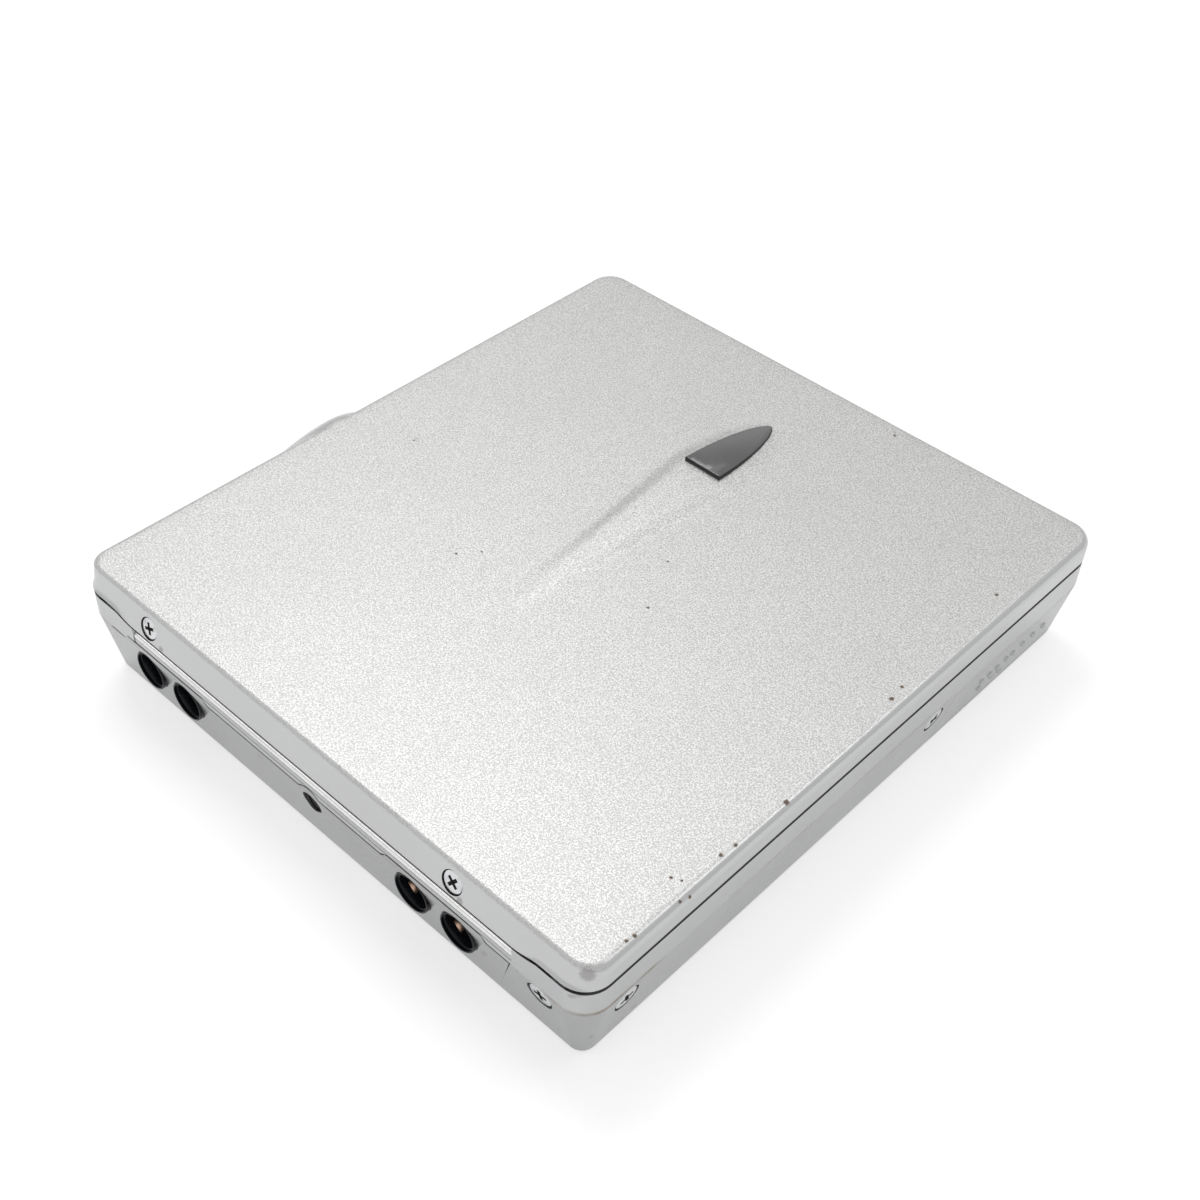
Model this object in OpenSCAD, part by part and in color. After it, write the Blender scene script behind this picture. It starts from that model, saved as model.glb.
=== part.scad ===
// Portable disc player: a clamshell whose lid lifts with a hinged disc holder.
// A frame carries the hinge and the drive; a tapered shell closes it from below.
// Millimetres, +Z up, origin in the middle of the underside.
// The hinge and the jacks are at -Y, the opening edge at +Y,
// the battery door at +X and the keys at -X.

/* [Disc] */
// Width of the disc cartridge, across the player
disc_w = 68; // [66:0.5:72]
// Length of the disc cartridge, along the way it slides in
disc_l = 72; // [70:0.5:76]
// Thickness of the disc cartridge
disc_t = 5; // [4.8:0.1:6]
// Play around the cartridge on each side
disc_play = 0.2; // [0.1:0.05:0.4]

/* [Battery] */
// Length of the flat cell
cell_l = 67; // [60:0.5:68]
// Width of the flat cell
cell_w = 17; // [15:0.1:17.4]
// Thickness of the flat cell
cell_t = 6; // [6:0.1:7]
// Play around the cell
cell_play = 0.1; // [0.05:0.05:0.2]

/* [Casing] */
// Plan radius of the casing's corners
corner_r = 3; // [2.4:0.1:3.6]
// Rounding of the lid's top edge
edge_r = 1.4; // [0.6:0.1:1.8]
// How far the lower shell draws in from its top to its bottom
taper = 1.5; // [0.8:0.1:1.8]
// Chamfer around the underside
base_edge = 0.5; // [0.2:0.1:0.8]
// Thickness of the lower shell's floor
floor_t = 1; // [0.8:0.1:1.4]
// Thickness of the lower shell's sides
shell_wall = 1; // [0.9:0.05:1.1]
// Thickness of the frame's sides
frame_wall = 1.25; // [1.2:0.05:1.6]
// Thickness of the frame's front wall
front_wall = 1.4; // [1.4:0.1:2]
// Depth of the hinge zone behind the disc holder
hinge_zone = 6; // [6:0.1:8]
// Thickness of the lid's sides
lid_wall = 0.9; // [0.8:0.05:1]
// Thickness of the lid's top
lid_skin = 0.8; // [0.7:0.05:1.2]
// Height of the lid's sides
lid_side = 2.75; // [2.5:0.05:3.2]
// Gap between the lid and the frame's rim
lid_gap = 0.25; // [0.2:0.05:0.4]
// Height of the frame's band between the lower shell and the rim
frame_band = 3.2; // [2.8:0.1:3.4]
// How much lower the lid's skirt hangs along the hinge
skirt_drop = 0.8; // [0.5:0.05:0.9]

/* [Ridge and window] */
// Sideways place of the lid's ridge
ridge_x = -0.4; // [-3:0.1:3]
// Tail of the ridge along the lid
ridge_tail = -15; // [-22:0.5:-5]
// Place of the window's straight end
window_y = 16.6; // [12:0.1:20]
// Length of the window
window_l = 12.2; // [8:0.1:14]
// Width of the window's straight end
window_w = 5; // [4:0.1:6]
// Height of the ridge above the lid
ridge_h = 0.6; // [0.3:0.05:0.9]
// Height of the window's straight end above the lid
window_h = 1.1; // [1:0.05:1.4]

/* [Jacks] */
// Radius of a plug hole
jack_bore_r = 1.75; // [1.6:0.05:1.8]
// Radius of a jack's black collar
jack_r = 2.25; // [2.15:0.05:2.4]
// Depth of a plug hole
jack_depth = 11; // [9:0.5:12]
// Height of the jacks' axes
jack_z = 6; // [5.8:0.05:6.1]
// Sideways place of the left pair of jacks
jack_left_x = -22.6; // [-24:0.1:-20]
// Sideways place of the right pair of jacks
jack_right_x = 17.2; // [15:0.1:18]
// Distance between the two jacks of a pair
jack_pitch = 6.15; // [6.1:0.05:6.4]
// Radius of the threaded hole between the jacks
thread_r = 0.8; // [0.6:0.05:0.9]
// Outer radius of the threaded insert
insert_r = 1.25; // [1.2:0.05:1.4]

/* [Hinge] */
// Radius of the hinge pins
pin_r = 0.5; // [0.4:0.05:0.55]
// Radius of the hinge ears
ear_r = 0.85; // [0.8:0.05:0.9]
// Width of each hinge ear
ear_w = 1.6; // [1.2:0.1:1.7]
// Radial clearance of a running fit
run_clear = 0.05; // [0.03:0.01:0.08]

/* [Keys] */
// Height of the keys' axes
key_z = 5; // [4.8:0.1:5.1]
// Length of a key
key_l = 4.6; // [4:0.1:5]
// Width of a key
key_w = 2.6; // [2:0.1:2.8]
// How far a key stands out of the casing
key_proud = 0.5; // [0.3:0.05:0.8]
// Travel of a key
key_travel = 0.5; // [0.3:0.05:0.6]
// Play around a key
key_play = 0.15; // [0.1:0.05:0.2]

/* [Drive] */
// Place of the spindle along the player
spindle_y = 2; // [0:0.1:3]
// Radius of the spindle's shaft
shaft_r = 0.75; // [0.6:0.05:0.9]
// Radius of the turntable
table_r = 5.5; // [4.5:0.1:5.8]
// Radius of the spindle motor
motor_r = 7.5; // [6.5:0.1:7.6]
// Radius of the guide rods
rod_r = 0.75; // [0.6:0.05:0.8]
// Distance between the guide rods
rod_gap = 14; // [13.6:0.1:14.2]
// Distance of the lens from the spindle at the inner end of its travel
lens_in = 16.5; // [16.4:0.1:17]
// Travel of the pickup
sled_travel = 13; // [10:0.5:13]
// Radius of the lead screw
screw_r = 0.8; // [0.6:0.05:0.9]
// Radius of the sled motor
sled_motor_r = 2.1; // [1.6:0.1:2.1]

/* [Fasteners] */
// Radius of a casing screw's head
head_r = 1.42; // [1.2:0.05:1.5]
// Thickness of a casing screw's head
head_h = 0.55; // [0.4:0.05:0.6]
// Radius of a casing screw's shank
shank_r = 0.7; // [0.5:0.05:0.8]
// Height of the screws in the casing's sides
case_screw_z = 6.2; // [6:0.1:6.4]
// Height of the lid screws above the lid's lower edge
lid_screw_up = 1.05; // [0.9:0.05:1.1]

/* [Hidden] */
$fn = 48;
corner_fn = 32;
thin = 0.02;
past = 1;
slack = 0.1;

// The stack from the floor up to the lid's top
sheet_t = 0.4;
tray_t = 0.3;
carrier_clear = 0.25;
lid_clear = 0.1;
cell_top = floor_t + cell_t + cell_play;
deck_top = cell_top + tray_t;
deck_t = 0.5;
deck_z = deck_top - deck_t;
lip_z = deck_top + carrier_clear;
slot_z = lip_z + sheet_t;
slot_h = disc_t + 0.15;
slot_top = slot_z + slot_h;
body_h = slot_top + sheet_t + lid_clear + lid_skin;
lid_low = body_h - lid_side;
rim_h = lid_low - lid_gap;
shell_h = rim_h - frame_band;
skirt_z = lid_low - skirt_drop;
lid_ceiling = body_h - lid_skin;

// The plan, from the disc outwards
slot_hw = disc_w / 2 + disc_play;
carrier_hw = slot_hw + sheet_t;
side_clear = 0.3;
bay_x1 = cell_l / 2 + cell_play;
bay_clear = 0.2;
half_w = max(carrier_hw + side_clear + frame_wall,
             bay_x1 + bay_clear + shell_wall + side_inset(floor_t));
body_w = 2 * half_w;
frame_in = half_w - frame_wall;
front_clear = 0.6;
body_d = disc_l + front_clear + front_wall + hinge_zone;
half_d = body_d / 2;
slot_y0 = -half_d + hinge_zone;
slot_y1 = slot_y0 + disc_l;
spring_mid = slot_y0 + disc_l / 2 - 1;
spring_hl = 11;
spring_z = slot_z + 1.2;
spring_h = 1.4;
spring_t = 0.2;
front_in = half_d - front_wall;
rear_in = slot_y0 - sheet_t - 2.5;
hinge_y = -half_d + 1.5;
hinge_z = lid_low + 0.25;

// Rounding of the frame's rim, and the lap between the frame and the lower shell
rim_r = 0.45;
lap_inset = 0.75;
lap_z = deck_z;

// Places along the hinge
ear_gap = 0.2;
carrier_ear_x = 27.8;
lid_ear_x = carrier_ear_x + ear_w + ear_gap;
base_ear_x = lid_ear_x + ear_w + ear_gap;
ear_end_x = base_ear_x + ear_w;
swing_r = norm([hinge_y + half_d, hinge_z - lid_low]) + slack;
skirt_swing_r = norm([hinge_y + half_d, hinge_z - skirt_z]) + slack;
strip_x0 = -27.6;
strip_x1 = 27.3;
strip_t = 1.09;
strip_nose = 0.3;
strip_w = 1.9;
strip_z = hinge_z - skirt_swing_r - strip_t - 0.05;
strip_back = -half_d + strip_w + 0.1;
rear_wall_z = hinge_z - skirt_swing_r - 0.5;
s_curve = 3.4;

// Jacks, left to right, and the panel around them
jack_xs = [
    jack_left_x - jack_pitch / 2, jack_left_x + jack_pitch / 2,
    jack_right_x - jack_pitch / 2, jack_right_x + jack_pitch / 2
];
panel_x0 = -31.6;
panel_x1 = 27.1;
panel_slant = 2.6;
panel_top = shell_h + 0.05;
panel_step = 0.55;
panel_ramp = 0.9;
panel_wall = 1;
panel_r = 0.6;
panel_clear = 0.06;
insert_z = jack_z + 0.7;
insert_l = 4.5;
insert_lip = 0.95;
jack_front_y = -half_d + 0.25;
jack_box_w = 5.6;
jack_box_y = -half_d + 3.4;
jack_room_x0 = jack_xs[0] - jack_box_w / 2 - 0.45;
jack_room_x1 = jack_xs[3] + jack_box_w / 2 + 2.85;
jack_room_z = jack_z + jack_r + slack;
jack_end = 1;
jack_slot_l = 4;
jack_slot_h = 1;
jack_slot_y = jack_box_y + 0.6;
jack_box_top = slot_z - 0.15;

// Circuit boards
board_t = 0.8;
board_z = floor_t + 0.2;
board_top = board_z + board_t;
board_hw = half_w - taper - shell_wall - 1;
board_rear = -half_d + taper + shell_wall + 1.6;
chip_t = 1.2;
chip_w = 8;
chip_gap = 4.5;
cap_r = 2;
cap_h = 3.6;
cap_y = board_rear + jack_depth / 2;

// Screws in the casing
corner_screw_x = 30.45;
corner_screw_z = case_screw_z + 0.5;
side_screw_ys = [-34.3, 11.85];
lid_screw_xs = [-24.5, 19.9];
lid_screw_z = lid_low + lid_screw_up;
lug_w = 3;
lug_t = 1.5;

// Keys, from the hinge end to the opening end
key_ys = [-32.5, -26.5, -14, -4.5, 4, 10.5];
key_flange = 0.4;
key_flange_t = 0.35;
key_in_x = -half_w + side_inset(key_z) + shell_wall + 0.02;
key_out_x = -half_w + side_inset(key_z) - key_proud;
switch_t = 1;
switch_w = 3;
key_board_t = 0.6;
switch_x = key_in_x + key_flange_t + key_travel + 0.15;
key_board_x = switch_x + switch_t;

// The swelling on the key side
pod_x = -half_w + 0.95;
pod_z = rim_h - 0.3;
pod_r = 3.3;
pod_y0 = -28;
pod_l = 27.8;
pod_peak = 0.8;
pod_tail_r = 0.2;

// Battery bay and its door
bay_y1 = half_d - side_inset(floor_t) - shell_wall - 0.15;
bay_y0 = bay_y1 - cell_w - 2 * cell_play;
tray_wall = 0.5;
contact_in = 4;
contact_t = 0.2;
door_in_x = half_w - 1.75;
door_y = 15.4;
door_slant = 1.2;
door_z0 = base_edge + 0.3;
door_z1 = lip_z - 0.2;
door_gap = 0.08;
dot_r = 0.42;
dot_proud = 0.25;
dots = [
    [22.1, 2.75], [21.9, 4.16], [24.2, 3.15], [23.4, 4.16], [25, 4.05], [26.1, 2.6],
    [26.6, 4.2], [27.9, 4.15], [29.8, 4.3], [31.8, 4.3], [33.8, 4.3]
];

// Latch and hold switch, in the front wall
latch_x0 = -27;
latch_x1 = -9;
latch_t = 0.5;
latch_y = front_in + 0.15;
latch_z = shell_h + 0.5;
latch_h = 1.4;
latch_travel = 2.5;
pocket_wall = 0.6;
knob_out = 0.9;
open_x = -18;
open_l = 8;
hold_x = 19.5;
hold_l = 5;
hold_travel = 2;
knob_h = 1.8;
stem_l = 3.2;
stem_h = 0.6;
hook_x = -7;
hook_w = 1.8;
hook_foot = 1.5;

// Drive
chassis_t = 0.6;
chassis_z = board_top + 0.3;
chassis_top = chassis_z + chassis_t;
chassis_x0 = -12.5;
chassis_x1 = half_w - side_inset(chassis_z) - shell_wall - 0.15;
chassis_y0 = -17;
board_front = chassis_y0 - 0.5;
board_left = chassis_x0 - 0.5;
chassis_y1 = bay_y0 - tray_wall - 0.8;
damper_r = 1.9;
damper_in = damper_r + 0.35;
damper_xy = [for (x = [chassis_x0 + damper_in, chassis_x1 - damper_in],
                  y = [chassis_y0 + damper_in, chassis_y1 - damper_in]) [x, y]];
post_r = 0.9;
rod_z = chassis_top + 1.7;
rod_ys = [spindle_y - rod_gap / 2, spindle_y + rod_gap / 2];
post_w = 1;
sled_back = 6.5;
sled_front = 3.2;
sled_x0 = lens_in - sled_back;
sled_x1 = lens_in + sled_front;
rod_x0 = sled_x0 - 0.2 - post_w;
rod_x1 = sled_x1 + sled_travel + 0.2 + post_w;
sled_hw = rod_gap / 2 + 1.4;
sled_z0 = chassis_top + 0.3;
sled_z1 = deck_z - 0.5;
lead_y = spindle_y - rod_gap / 2 - 5.5;
lead_tip_r = 0.45;
lead_neck_r = 0.5;
motor_can_l = 14;
hub_top = slot_z - 0.1;
hub_r = 1.5;
motor_top = deck_z - 1.9;
sleeve_h = 0.4;
table_z = motor_top + sleeve_h + 0.2;
table_t = 0.8;
step_t = 0.5;
magnet_z = table_z + table_t + step_t;
magnet_t = 0.35;
magnet_r = 3.4;
lens_r = 2;
mount_back = 4.2;
mount_front = 3;
mount_hw = 4;
mount_t = 0.6;

// How far the lower shell is drawn in at a height
function side_inset(z) = taper * (shell_h - z) / shell_h;

// Smooth step from 0 to 1
function ease(t) = (1 - cos(180 * min(max(t, 0), 1))) / 2;

// Teardrop: rises slowly from r0 to r1 at the peak, then rounds off to r0
function drop_r(t, peak, r0, r1) =
    t < peak ? r0 + (r1 - r0) * ease(t / peak)
             : r0 + (r1 - r0) * sqrt(max(0, 1 - pow((t - peak) / (1 - peak), 2)));

// Corner posts of the casing's outline, drawn in by an inset
module outline_slab(inset, z, h) {
    r = max(corner_r - inset, 0.4);
    for (sx = [-1, 1], sy = [-1, 1])
        translate([sx * (half_w - inset - r), sy * (half_d - inset - r), z])
            cylinder(r = r, h = h, $fn = corner_fn);
}

// Solid of revolution of a teardrop lying along Y
module teardrop(len, peak, r0, r1, steps) {
    points = [for (i = [0 : steps]) [drop_r(i / steps, peak, r0, r1), len * i / steps]];
    rotate([-90, 0, 0])
        rotate_extrude()
            polygon(concat([[0, 0]], points, [[0, len]]));
}

// Cylinder along X from x0 to x1
module x_rod(r, x0, x1, y, z) {
    translate([x0, y, z])
        rotate([0, 90, 0])
            cylinder(r = r, h = x1 - x0);
}

// Cylinder along Y from y0 to y1
module y_rod(r, y0, y1, x, z) {
    translate([x, y0, z])
        rotate([-90, 0, 0])
            cylinder(r = r, h = y1 - y0);
}

// Box from one corner to the opposite one
module box(a, b) {
    translate(a)
        cube(b - a);
}

// Cross-head screw: the head's face is at z = 0, the shank points down
module screw(hr, hh, sr, len) {
    slot_w = hr * 0.26;
    slot_l = hr * 1.1;
    slot_d = hh * 0.6;
    difference() {
        union() {
            translate([0, 0, -hh])
                cylinder(r = hr, h = hh);
            translate([0, 0, -hh - len])
                cylinder(r = sr, h = len + thin);
        }
        for (turn = [0, 90])
            rotate([0, 0, turn])
                box([-slot_l / 2, -slot_w / 2, -slot_d], [slot_l / 2, slot_w / 2, past]);
    }
}

// Outer forms shared by the casing's pieces
module shell_outer() {
    hull() {
        for (a = [0 : 30 : 90])
            let (z = base_edge * (1 - cos(a)))
                outline_slab(side_inset(z) + base_edge * (1 - sin(a)), z, thin);
        outline_slab(0, shell_h - thin, thin);
    }
}

module shell_cavity() {
    hull() {
        outline_slab(side_inset(floor_t) + shell_wall, floor_t, thin);
        outline_slab(side_inset(lap_z) + shell_wall, lap_z, thin);
    }
    hull()
        outline_slab(lap_inset - 0.03, lap_z - 0.05, shell_h - lap_z + past);
}

module band_outer() {
    hull() {
        outline_slab(0, shell_h, frame_band - rim_r);
        for (a = [22.5 : 22.5 : 90])
            outline_slab(rim_r * (1 - cos(a)), rim_h - rim_r * (1 - sin(a)) - thin, thin);
    }
}

// Outline of the jack panel, seen from the hinge side, grown by a clearance
module panel_outline(grow) {
    left0 = jack_xs[0] - jack_r - 0.8;
    left1 = jack_xs[1] + jack_r + 0.8;
    right0 = jack_xs[2] - jack_r - 0.8;
    right1 = jack_xs[3] + jack_r + 0.8;
    foot_r = panel_r + grow;
    foot_in = panel_slant + panel_r;
    lean = 20;
    low = panel_top + grow;
    high = panel_top + panel_step + grow;
    translate([0, -half_d + 2.4, 0])
        rotate([90, 0, 0])
            linear_extrude(height = 2.4 + past) {
                polygon([
                    for (a = [lean : 14 : 90])
                        foot_r * [-cos(a), -sin(a)] + [panel_x0 + foot_in, floor_t + panel_r],
                    for (a = [0 : 14 : 90 - lean])
                        foot_r * [sin(a), -cos(a)] + [panel_x1 - foot_in, floor_t + panel_r],
                    [panel_x1 + grow, low], [right1 + panel_ramp, low], [right1, high],
                    [right0, high], [right0 - panel_ramp, low], [left1 + panel_ramp, low],
                    [left1, high], [left0, high], [left0 - panel_ramp / 2, low],
                    [panel_x0 - grow, low]
                ]);
                polygon([
                    for (a = [0 : 7.5 : 352.5])
                        [0, insert_z] + (insert_r + insert_lip + grow) * [cos(a), sin(a)]
                ]);
            }
}

// Room that the lid's rear edge sweeps as it opens, turned about the hinge
module swing_room() {
    arc_steps = 6;
    x_arc = half_w - corner_r;
    x_skirt = max(-strip_x0, strip_x1);
    skirt = [for (i = [0 : arc_steps]) let (t = i / arc_steps)
        [skirt_swing_r + (swing_r - skirt_swing_r) * ease(t), x_skirt + s_curve * t]];
    arc = [for (i = [0 : arc_steps]) let (a = 80 * i / arc_steps)
        [max(0.05, swing_r - corner_r * (1 - cos(a))), x_arc + corner_r * sin(a)]];
    for (side = [0, 1])
        mirror([side, 0, 0])
            translate([0, hinge_y, hinge_z])
                rotate([0, 90, 0])
                    rotate_extrude()
                        polygon(concat([[0, strip_x1], [skirt_swing_r, strip_x1]], skirt, arc,
                            [[0, half_w + 0.1]]));
}

// Swelling on the key side, whole
module pod_form() {
    translate([pod_x, pod_y0, pod_z])
        teardrop(pod_l, pod_peak, pod_tail_r, pod_r, 14);
}

module lid_outer() {
    round_steps = 5;
    hull() {
        outline_slab(0, skirt_z, thin);
        for (i = [0 : round_steps])
            let (a = 90 * i / round_steps)
                outline_slab(edge_r * (1 - cos(a)), body_h - edge_r * (1 - sin(a)) - thin, thin);
    }
}

module lid_cavity() {
    hull()
        outline_slab(lid_wall, skirt_z - past, lid_ceiling - skirt_z + past);
}

// What is cut from under the lid: level sides, and S curves at the skirt's ends
module lid_underside() {
    curve_steps = 8;
    rear_y = -half_d + corner_r;
    box([-half_w - past, rear_y, skirt_z - past], [half_w + past, half_d + past, lid_low]);
    for (side = [[-1, -strip_x0], [1, strip_x1]])
        translate([0, rear_y + thin, 0])
            rotate([90, 0, 0])
                linear_extrude(height = corner_r + past)
                    polygon(concat(
                        [for (i = [0 : curve_steps]) [
                            side[0] * (side[1] + s_curve * i / curve_steps),
                            skirt_z - thin + (skirt_drop + thin) * ease(i / curve_steps)
                        ]],
                        [[side[0] * (half_w + past), lid_low],
                         [side[0] * (half_w + past), skirt_z - past],
                         [side[0] * side[1], skirt_z - past]]
                    ));
}

// Plan of the window: a straight end and two sides that meet in a tip
module window_plan(grow) {
    steps = 14;
    half = window_w / 2 + grow;
    side = [for (i = [0 : steps]) let (t = i / steps) [half * pow(1 - t * t, 0.6), t * (window_l + grow)]];
    translate([ridge_x, window_y])
        polygon(concat([[half, -grow], [-half, -grow]],
            [for (i = [0 : steps]) [-side[i][0], side[i][1]]],
            [for (i = [steps - 1 : -1 : 0]) side[i]]));
}

module ridge() {
    ridge_r = 5.6;
    len = window_y + window_l - ridge_tail;
    intersection() {
        translate([ridge_x, ridge_tail, body_h - ridge_r])
            teardrop(len, (window_y - ridge_tail) / len, ridge_r - 0.05, ridge_r + ridge_h, 16);
        box([-half_w, -half_d, body_h - lid_skin / 2], [half_w, half_d, body_h + 2 * ridge_h]);
    }
}

module lid_shell() {
    pocket_floor = body_h - lid_skin + 0.25;
    color([0.84, 0.84, 0.83])
        difference() {
            union() {
                lid_outer();
                ridge();
                intersection() {
                    pod_form();
                    box([-half_w - 2 * pod_r, -half_d, lid_low], [0, half_d, body_h]);
                }
            }
            lid_cavity();
            lid_underside();
            translate([0, 0, pocket_floor])
                linear_extrude(height = past + ridge_h + window_h)
                    window_plan(0.04);
            for (x = lid_screw_xs) {
                y_rod(head_r + slack, -half_d - past, -half_d + head_h + 0.05, x, lid_screw_z);
                y_rod(shank_r + slack, -half_d - past, -half_d + 2, x, lid_screw_z);
            }
            for (side = [-1, 1])
                x_rod(ear_r + 0.15, side * (carrier_ear_x + ear_end_x) / 2 - ear_w * 1.5 - 2 * ear_gap,
                    side * (carrier_ear_x + ear_end_x) / 2 + ear_w * 1.5 + 2 * ear_gap, hinge_y, hinge_z);
        }
}

module lid_window() {
    rise = atan((window_h - 0.2) / window_l);
    color([0.3, 0.3, 0.31])
        difference() {
            translate([0, 0, body_h - lid_skin + 0.25])
                linear_extrude(height = window_h + lid_skin)
                    window_plan(0);
            translate([ridge_x, window_y, body_h + window_h])
                rotate([-rise, 0, 0])
                    box([-window_w, -past, 0], [window_w, 2 * window_l, 2 * window_h]);
        }
}

module lid_bracket() {
    plate_t = 0.5;
    plate_y = -half_d + lid_wall + 0.03;
    boss_z = lid_screw_z - 0.1;
    boss_r = lid_ceiling - 0.03 - boss_z;
    flange_z = hinge_z + ear_r + 0.2;
    inner_x = carrier_ear_x - 0.4;
    color([0.62, 0.62, 0.6])
        difference() {
            union() {
                box([-inner_x, plate_y, hinge_z - 0.1], [inner_x, plate_y + plate_t, lid_ceiling - 0.03]);
                box([-base_ear_x, plate_y, flange_z], [base_ear_x, plate_y + plate_t, lid_ceiling - 0.03]);
                for (x = lid_screw_xs)
                    y_rod(boss_r, plate_y + thin, plate_y + 2.2, x, boss_z);
                for (side = [0, 1])
                    mirror([side, 0, 0]) {
                        x_rod(ear_r, lid_ear_x, lid_ear_x + ear_w, hinge_y, hinge_z);
                        box([lid_ear_x, hinge_y - 0.3, hinge_z],
                            [lid_ear_x + ear_w, hinge_y + ear_r - 0.1, lid_ceiling - 0.03]);
                    }
            }
            for (side = [0, 1])
                mirror([side, 0, 0])
                    x_rod(pin_r + run_clear, lid_ear_x - past, lid_ear_x + ear_w + past, hinge_y, hinge_z);
            for (x = lid_screw_xs)
                y_rod(shank_r + run_clear, plate_y - past, plate_y + 2.2 + past, x, lid_screw_z);
        }
}

module lid_screws() {
    color([0.72, 0.72, 0.72])
        for (x = lid_screw_xs)
            translate([x, -half_d + 0.05, lid_screw_z])
                rotate([90, 0, 0])
                    screw(head_r, head_h, shank_r, 2.2);
}

module lid_hook() {
    y0 = front_in - 0.2;
    y1 = y0 + latch_t;
    foot_z = latch_z + 0.2;
    color([0.62, 0.62, 0.6])
        union() {
            box([hook_x, y0, foot_z], [hook_x + hook_w, y1, lid_ceiling - 0.02]);
            box([hook_x - hook_foot, y0, foot_z], [hook_x + thin, y1, foot_z + 0.5]);
            box([hook_x - hook_foot, y0 - 0.3, lid_ceiling - 0.42],
                [hook_x + hook_w + hook_foot, y1, lid_ceiling - 0.02]);
        }
}

module disc_carrier() {
    lip_w = 2;
    back_y = slot_y0 - sheet_t;
    window_hw = 12;
    color([0.7, 0.7, 0.69])
        difference() {
            union() {
                box([-carrier_hw, back_y, slot_top], [carrier_hw, slot_y1, slot_top + sheet_t]);
                box([-carrier_hw, back_y, slot_z], [carrier_hw, slot_y0, slot_top + thin]);
                for (side = [0, 1])
                    mirror([side, 0, 0]) {
                        box([slot_hw, back_y, lip_z], [carrier_hw, slot_y1, slot_top + thin]);
                        box([slot_hw - lip_w, back_y, lip_z], [carrier_hw, slot_y1, slot_z]);
                        x_rod(ear_r, carrier_ear_x, carrier_ear_x + ear_w, hinge_y, hinge_z);
                        box([carrier_ear_x, hinge_y, hinge_z - pin_r + 0.15],
                            [carrier_ear_x + ear_w, slot_y0, hinge_z + ear_r - 0.2]);
                    }
            }
            for (side = [0, 1])
                mirror([side, 0, 0])
                    x_rod(pin_r + run_clear, carrier_ear_x - past,
                        carrier_ear_x + ear_w + past, hinge_y, hinge_z);
            translate([0, spindle_y, slot_top - past])
                cylinder(r = window_hw, h = sheet_t + 2 * past);
            box([-window_hw, back_y - past, lip_z - past], [window_hw, slot_y0 + past, slot_top - 2]);
            for (side = [0, 1])
                mirror([side, 0, 0])
                    box([slot_hw - past, spring_mid - spring_hl, spring_z],
                        [carrier_hw + past, spring_mid + spring_hl, spring_z + spring_h]);
        }
}

// Leaf springs that lie in the windows of the holder's sides
module carrier_springs() {
    color([0.78, 0.74, 0.6])
        for (side = [0, 1])
            mirror([side, 0, 0])
                box([slot_hw + slack, spring_mid - spring_hl + slack, spring_z + 3 * slack],
                    [slot_hw + slack + spring_t, spring_mid + spring_hl - slack,
                        spring_z + spring_h - 3 * slack]);
}

module deck() {
    open_y0 = spindle_y - 6.5;
    open_y1 = spindle_y + 6.5;
    rear_edge = jack_box_y + jack_depth - 2;
    difference() {
        intersection() {
            hull()
                outline_slab(lap_inset, deck_z, deck_t);
            box([-half_w, -half_d + 3, deck_z - past], [half_w, bay_y0 - tray_wall - slack, deck_top + past]);
        }
        box([jack_room_x0, -half_d, deck_z - past], [jack_room_x1, rear_edge, deck_top + past]);
        box([0, open_y0, deck_z - past], [rod_x1 - 0.3, open_y1, deck_top + past]);
        translate([0, spindle_y, deck_z - past])
            cylinder(r = table_r + 2.5, h = deck_t + 2 * past);
    }
}

// Seats of the casing screws' heads
module side_screw_seat(y) {
    seat_x = half_w - side_inset(case_screw_z) - head_h - 0.02;
    x_rod(head_r + slack, seat_x, half_w + past, y, case_screw_z);
}

module corner_screw_seat() {
    seat_y = -half_d + side_inset(corner_screw_z) + head_h + 0.02;
    y_rod(head_r + slack, -half_d - past, seat_y, corner_screw_x, corner_screw_z);
}

// Lugs under the frame that the casing screws bite into
module frame_lugs() {
    z0 = case_screw_z - lug_w / 2;
    x1 = half_w - side_inset(z0) - shell_wall - slack;
    y1 = -half_d + side_inset(z0) + shell_wall + slack;
    for (y = side_screw_ys)
        box([x1 - lug_t, y - lug_w / 2, z0], [x1, y + lug_w / 2, deck_z + thin]);
    box([corner_screw_x - lug_w / 2, y1, z0], [corner_screw_x + lug_w / 2, y1 + lug_t, deck_top]);
}

module base_ears() {
    stalk_y0 = hinge_y - 0.4;
    for (side = [0, 1])
        mirror([side, 0, 0])
            difference() {
                union() {
                    x_rod(ear_r, base_ear_x, ear_end_x, hinge_y, hinge_z);
                    box([base_ear_x, stalk_y0, hinge_z - swing_r - 0.8],
                        [ear_end_x, stalk_y0 + 1.2, hinge_z]);
                }
                x_rod(pin_r + thin, base_ear_x - past, ear_end_x + past, hinge_y, hinge_z);
            }
}

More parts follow.
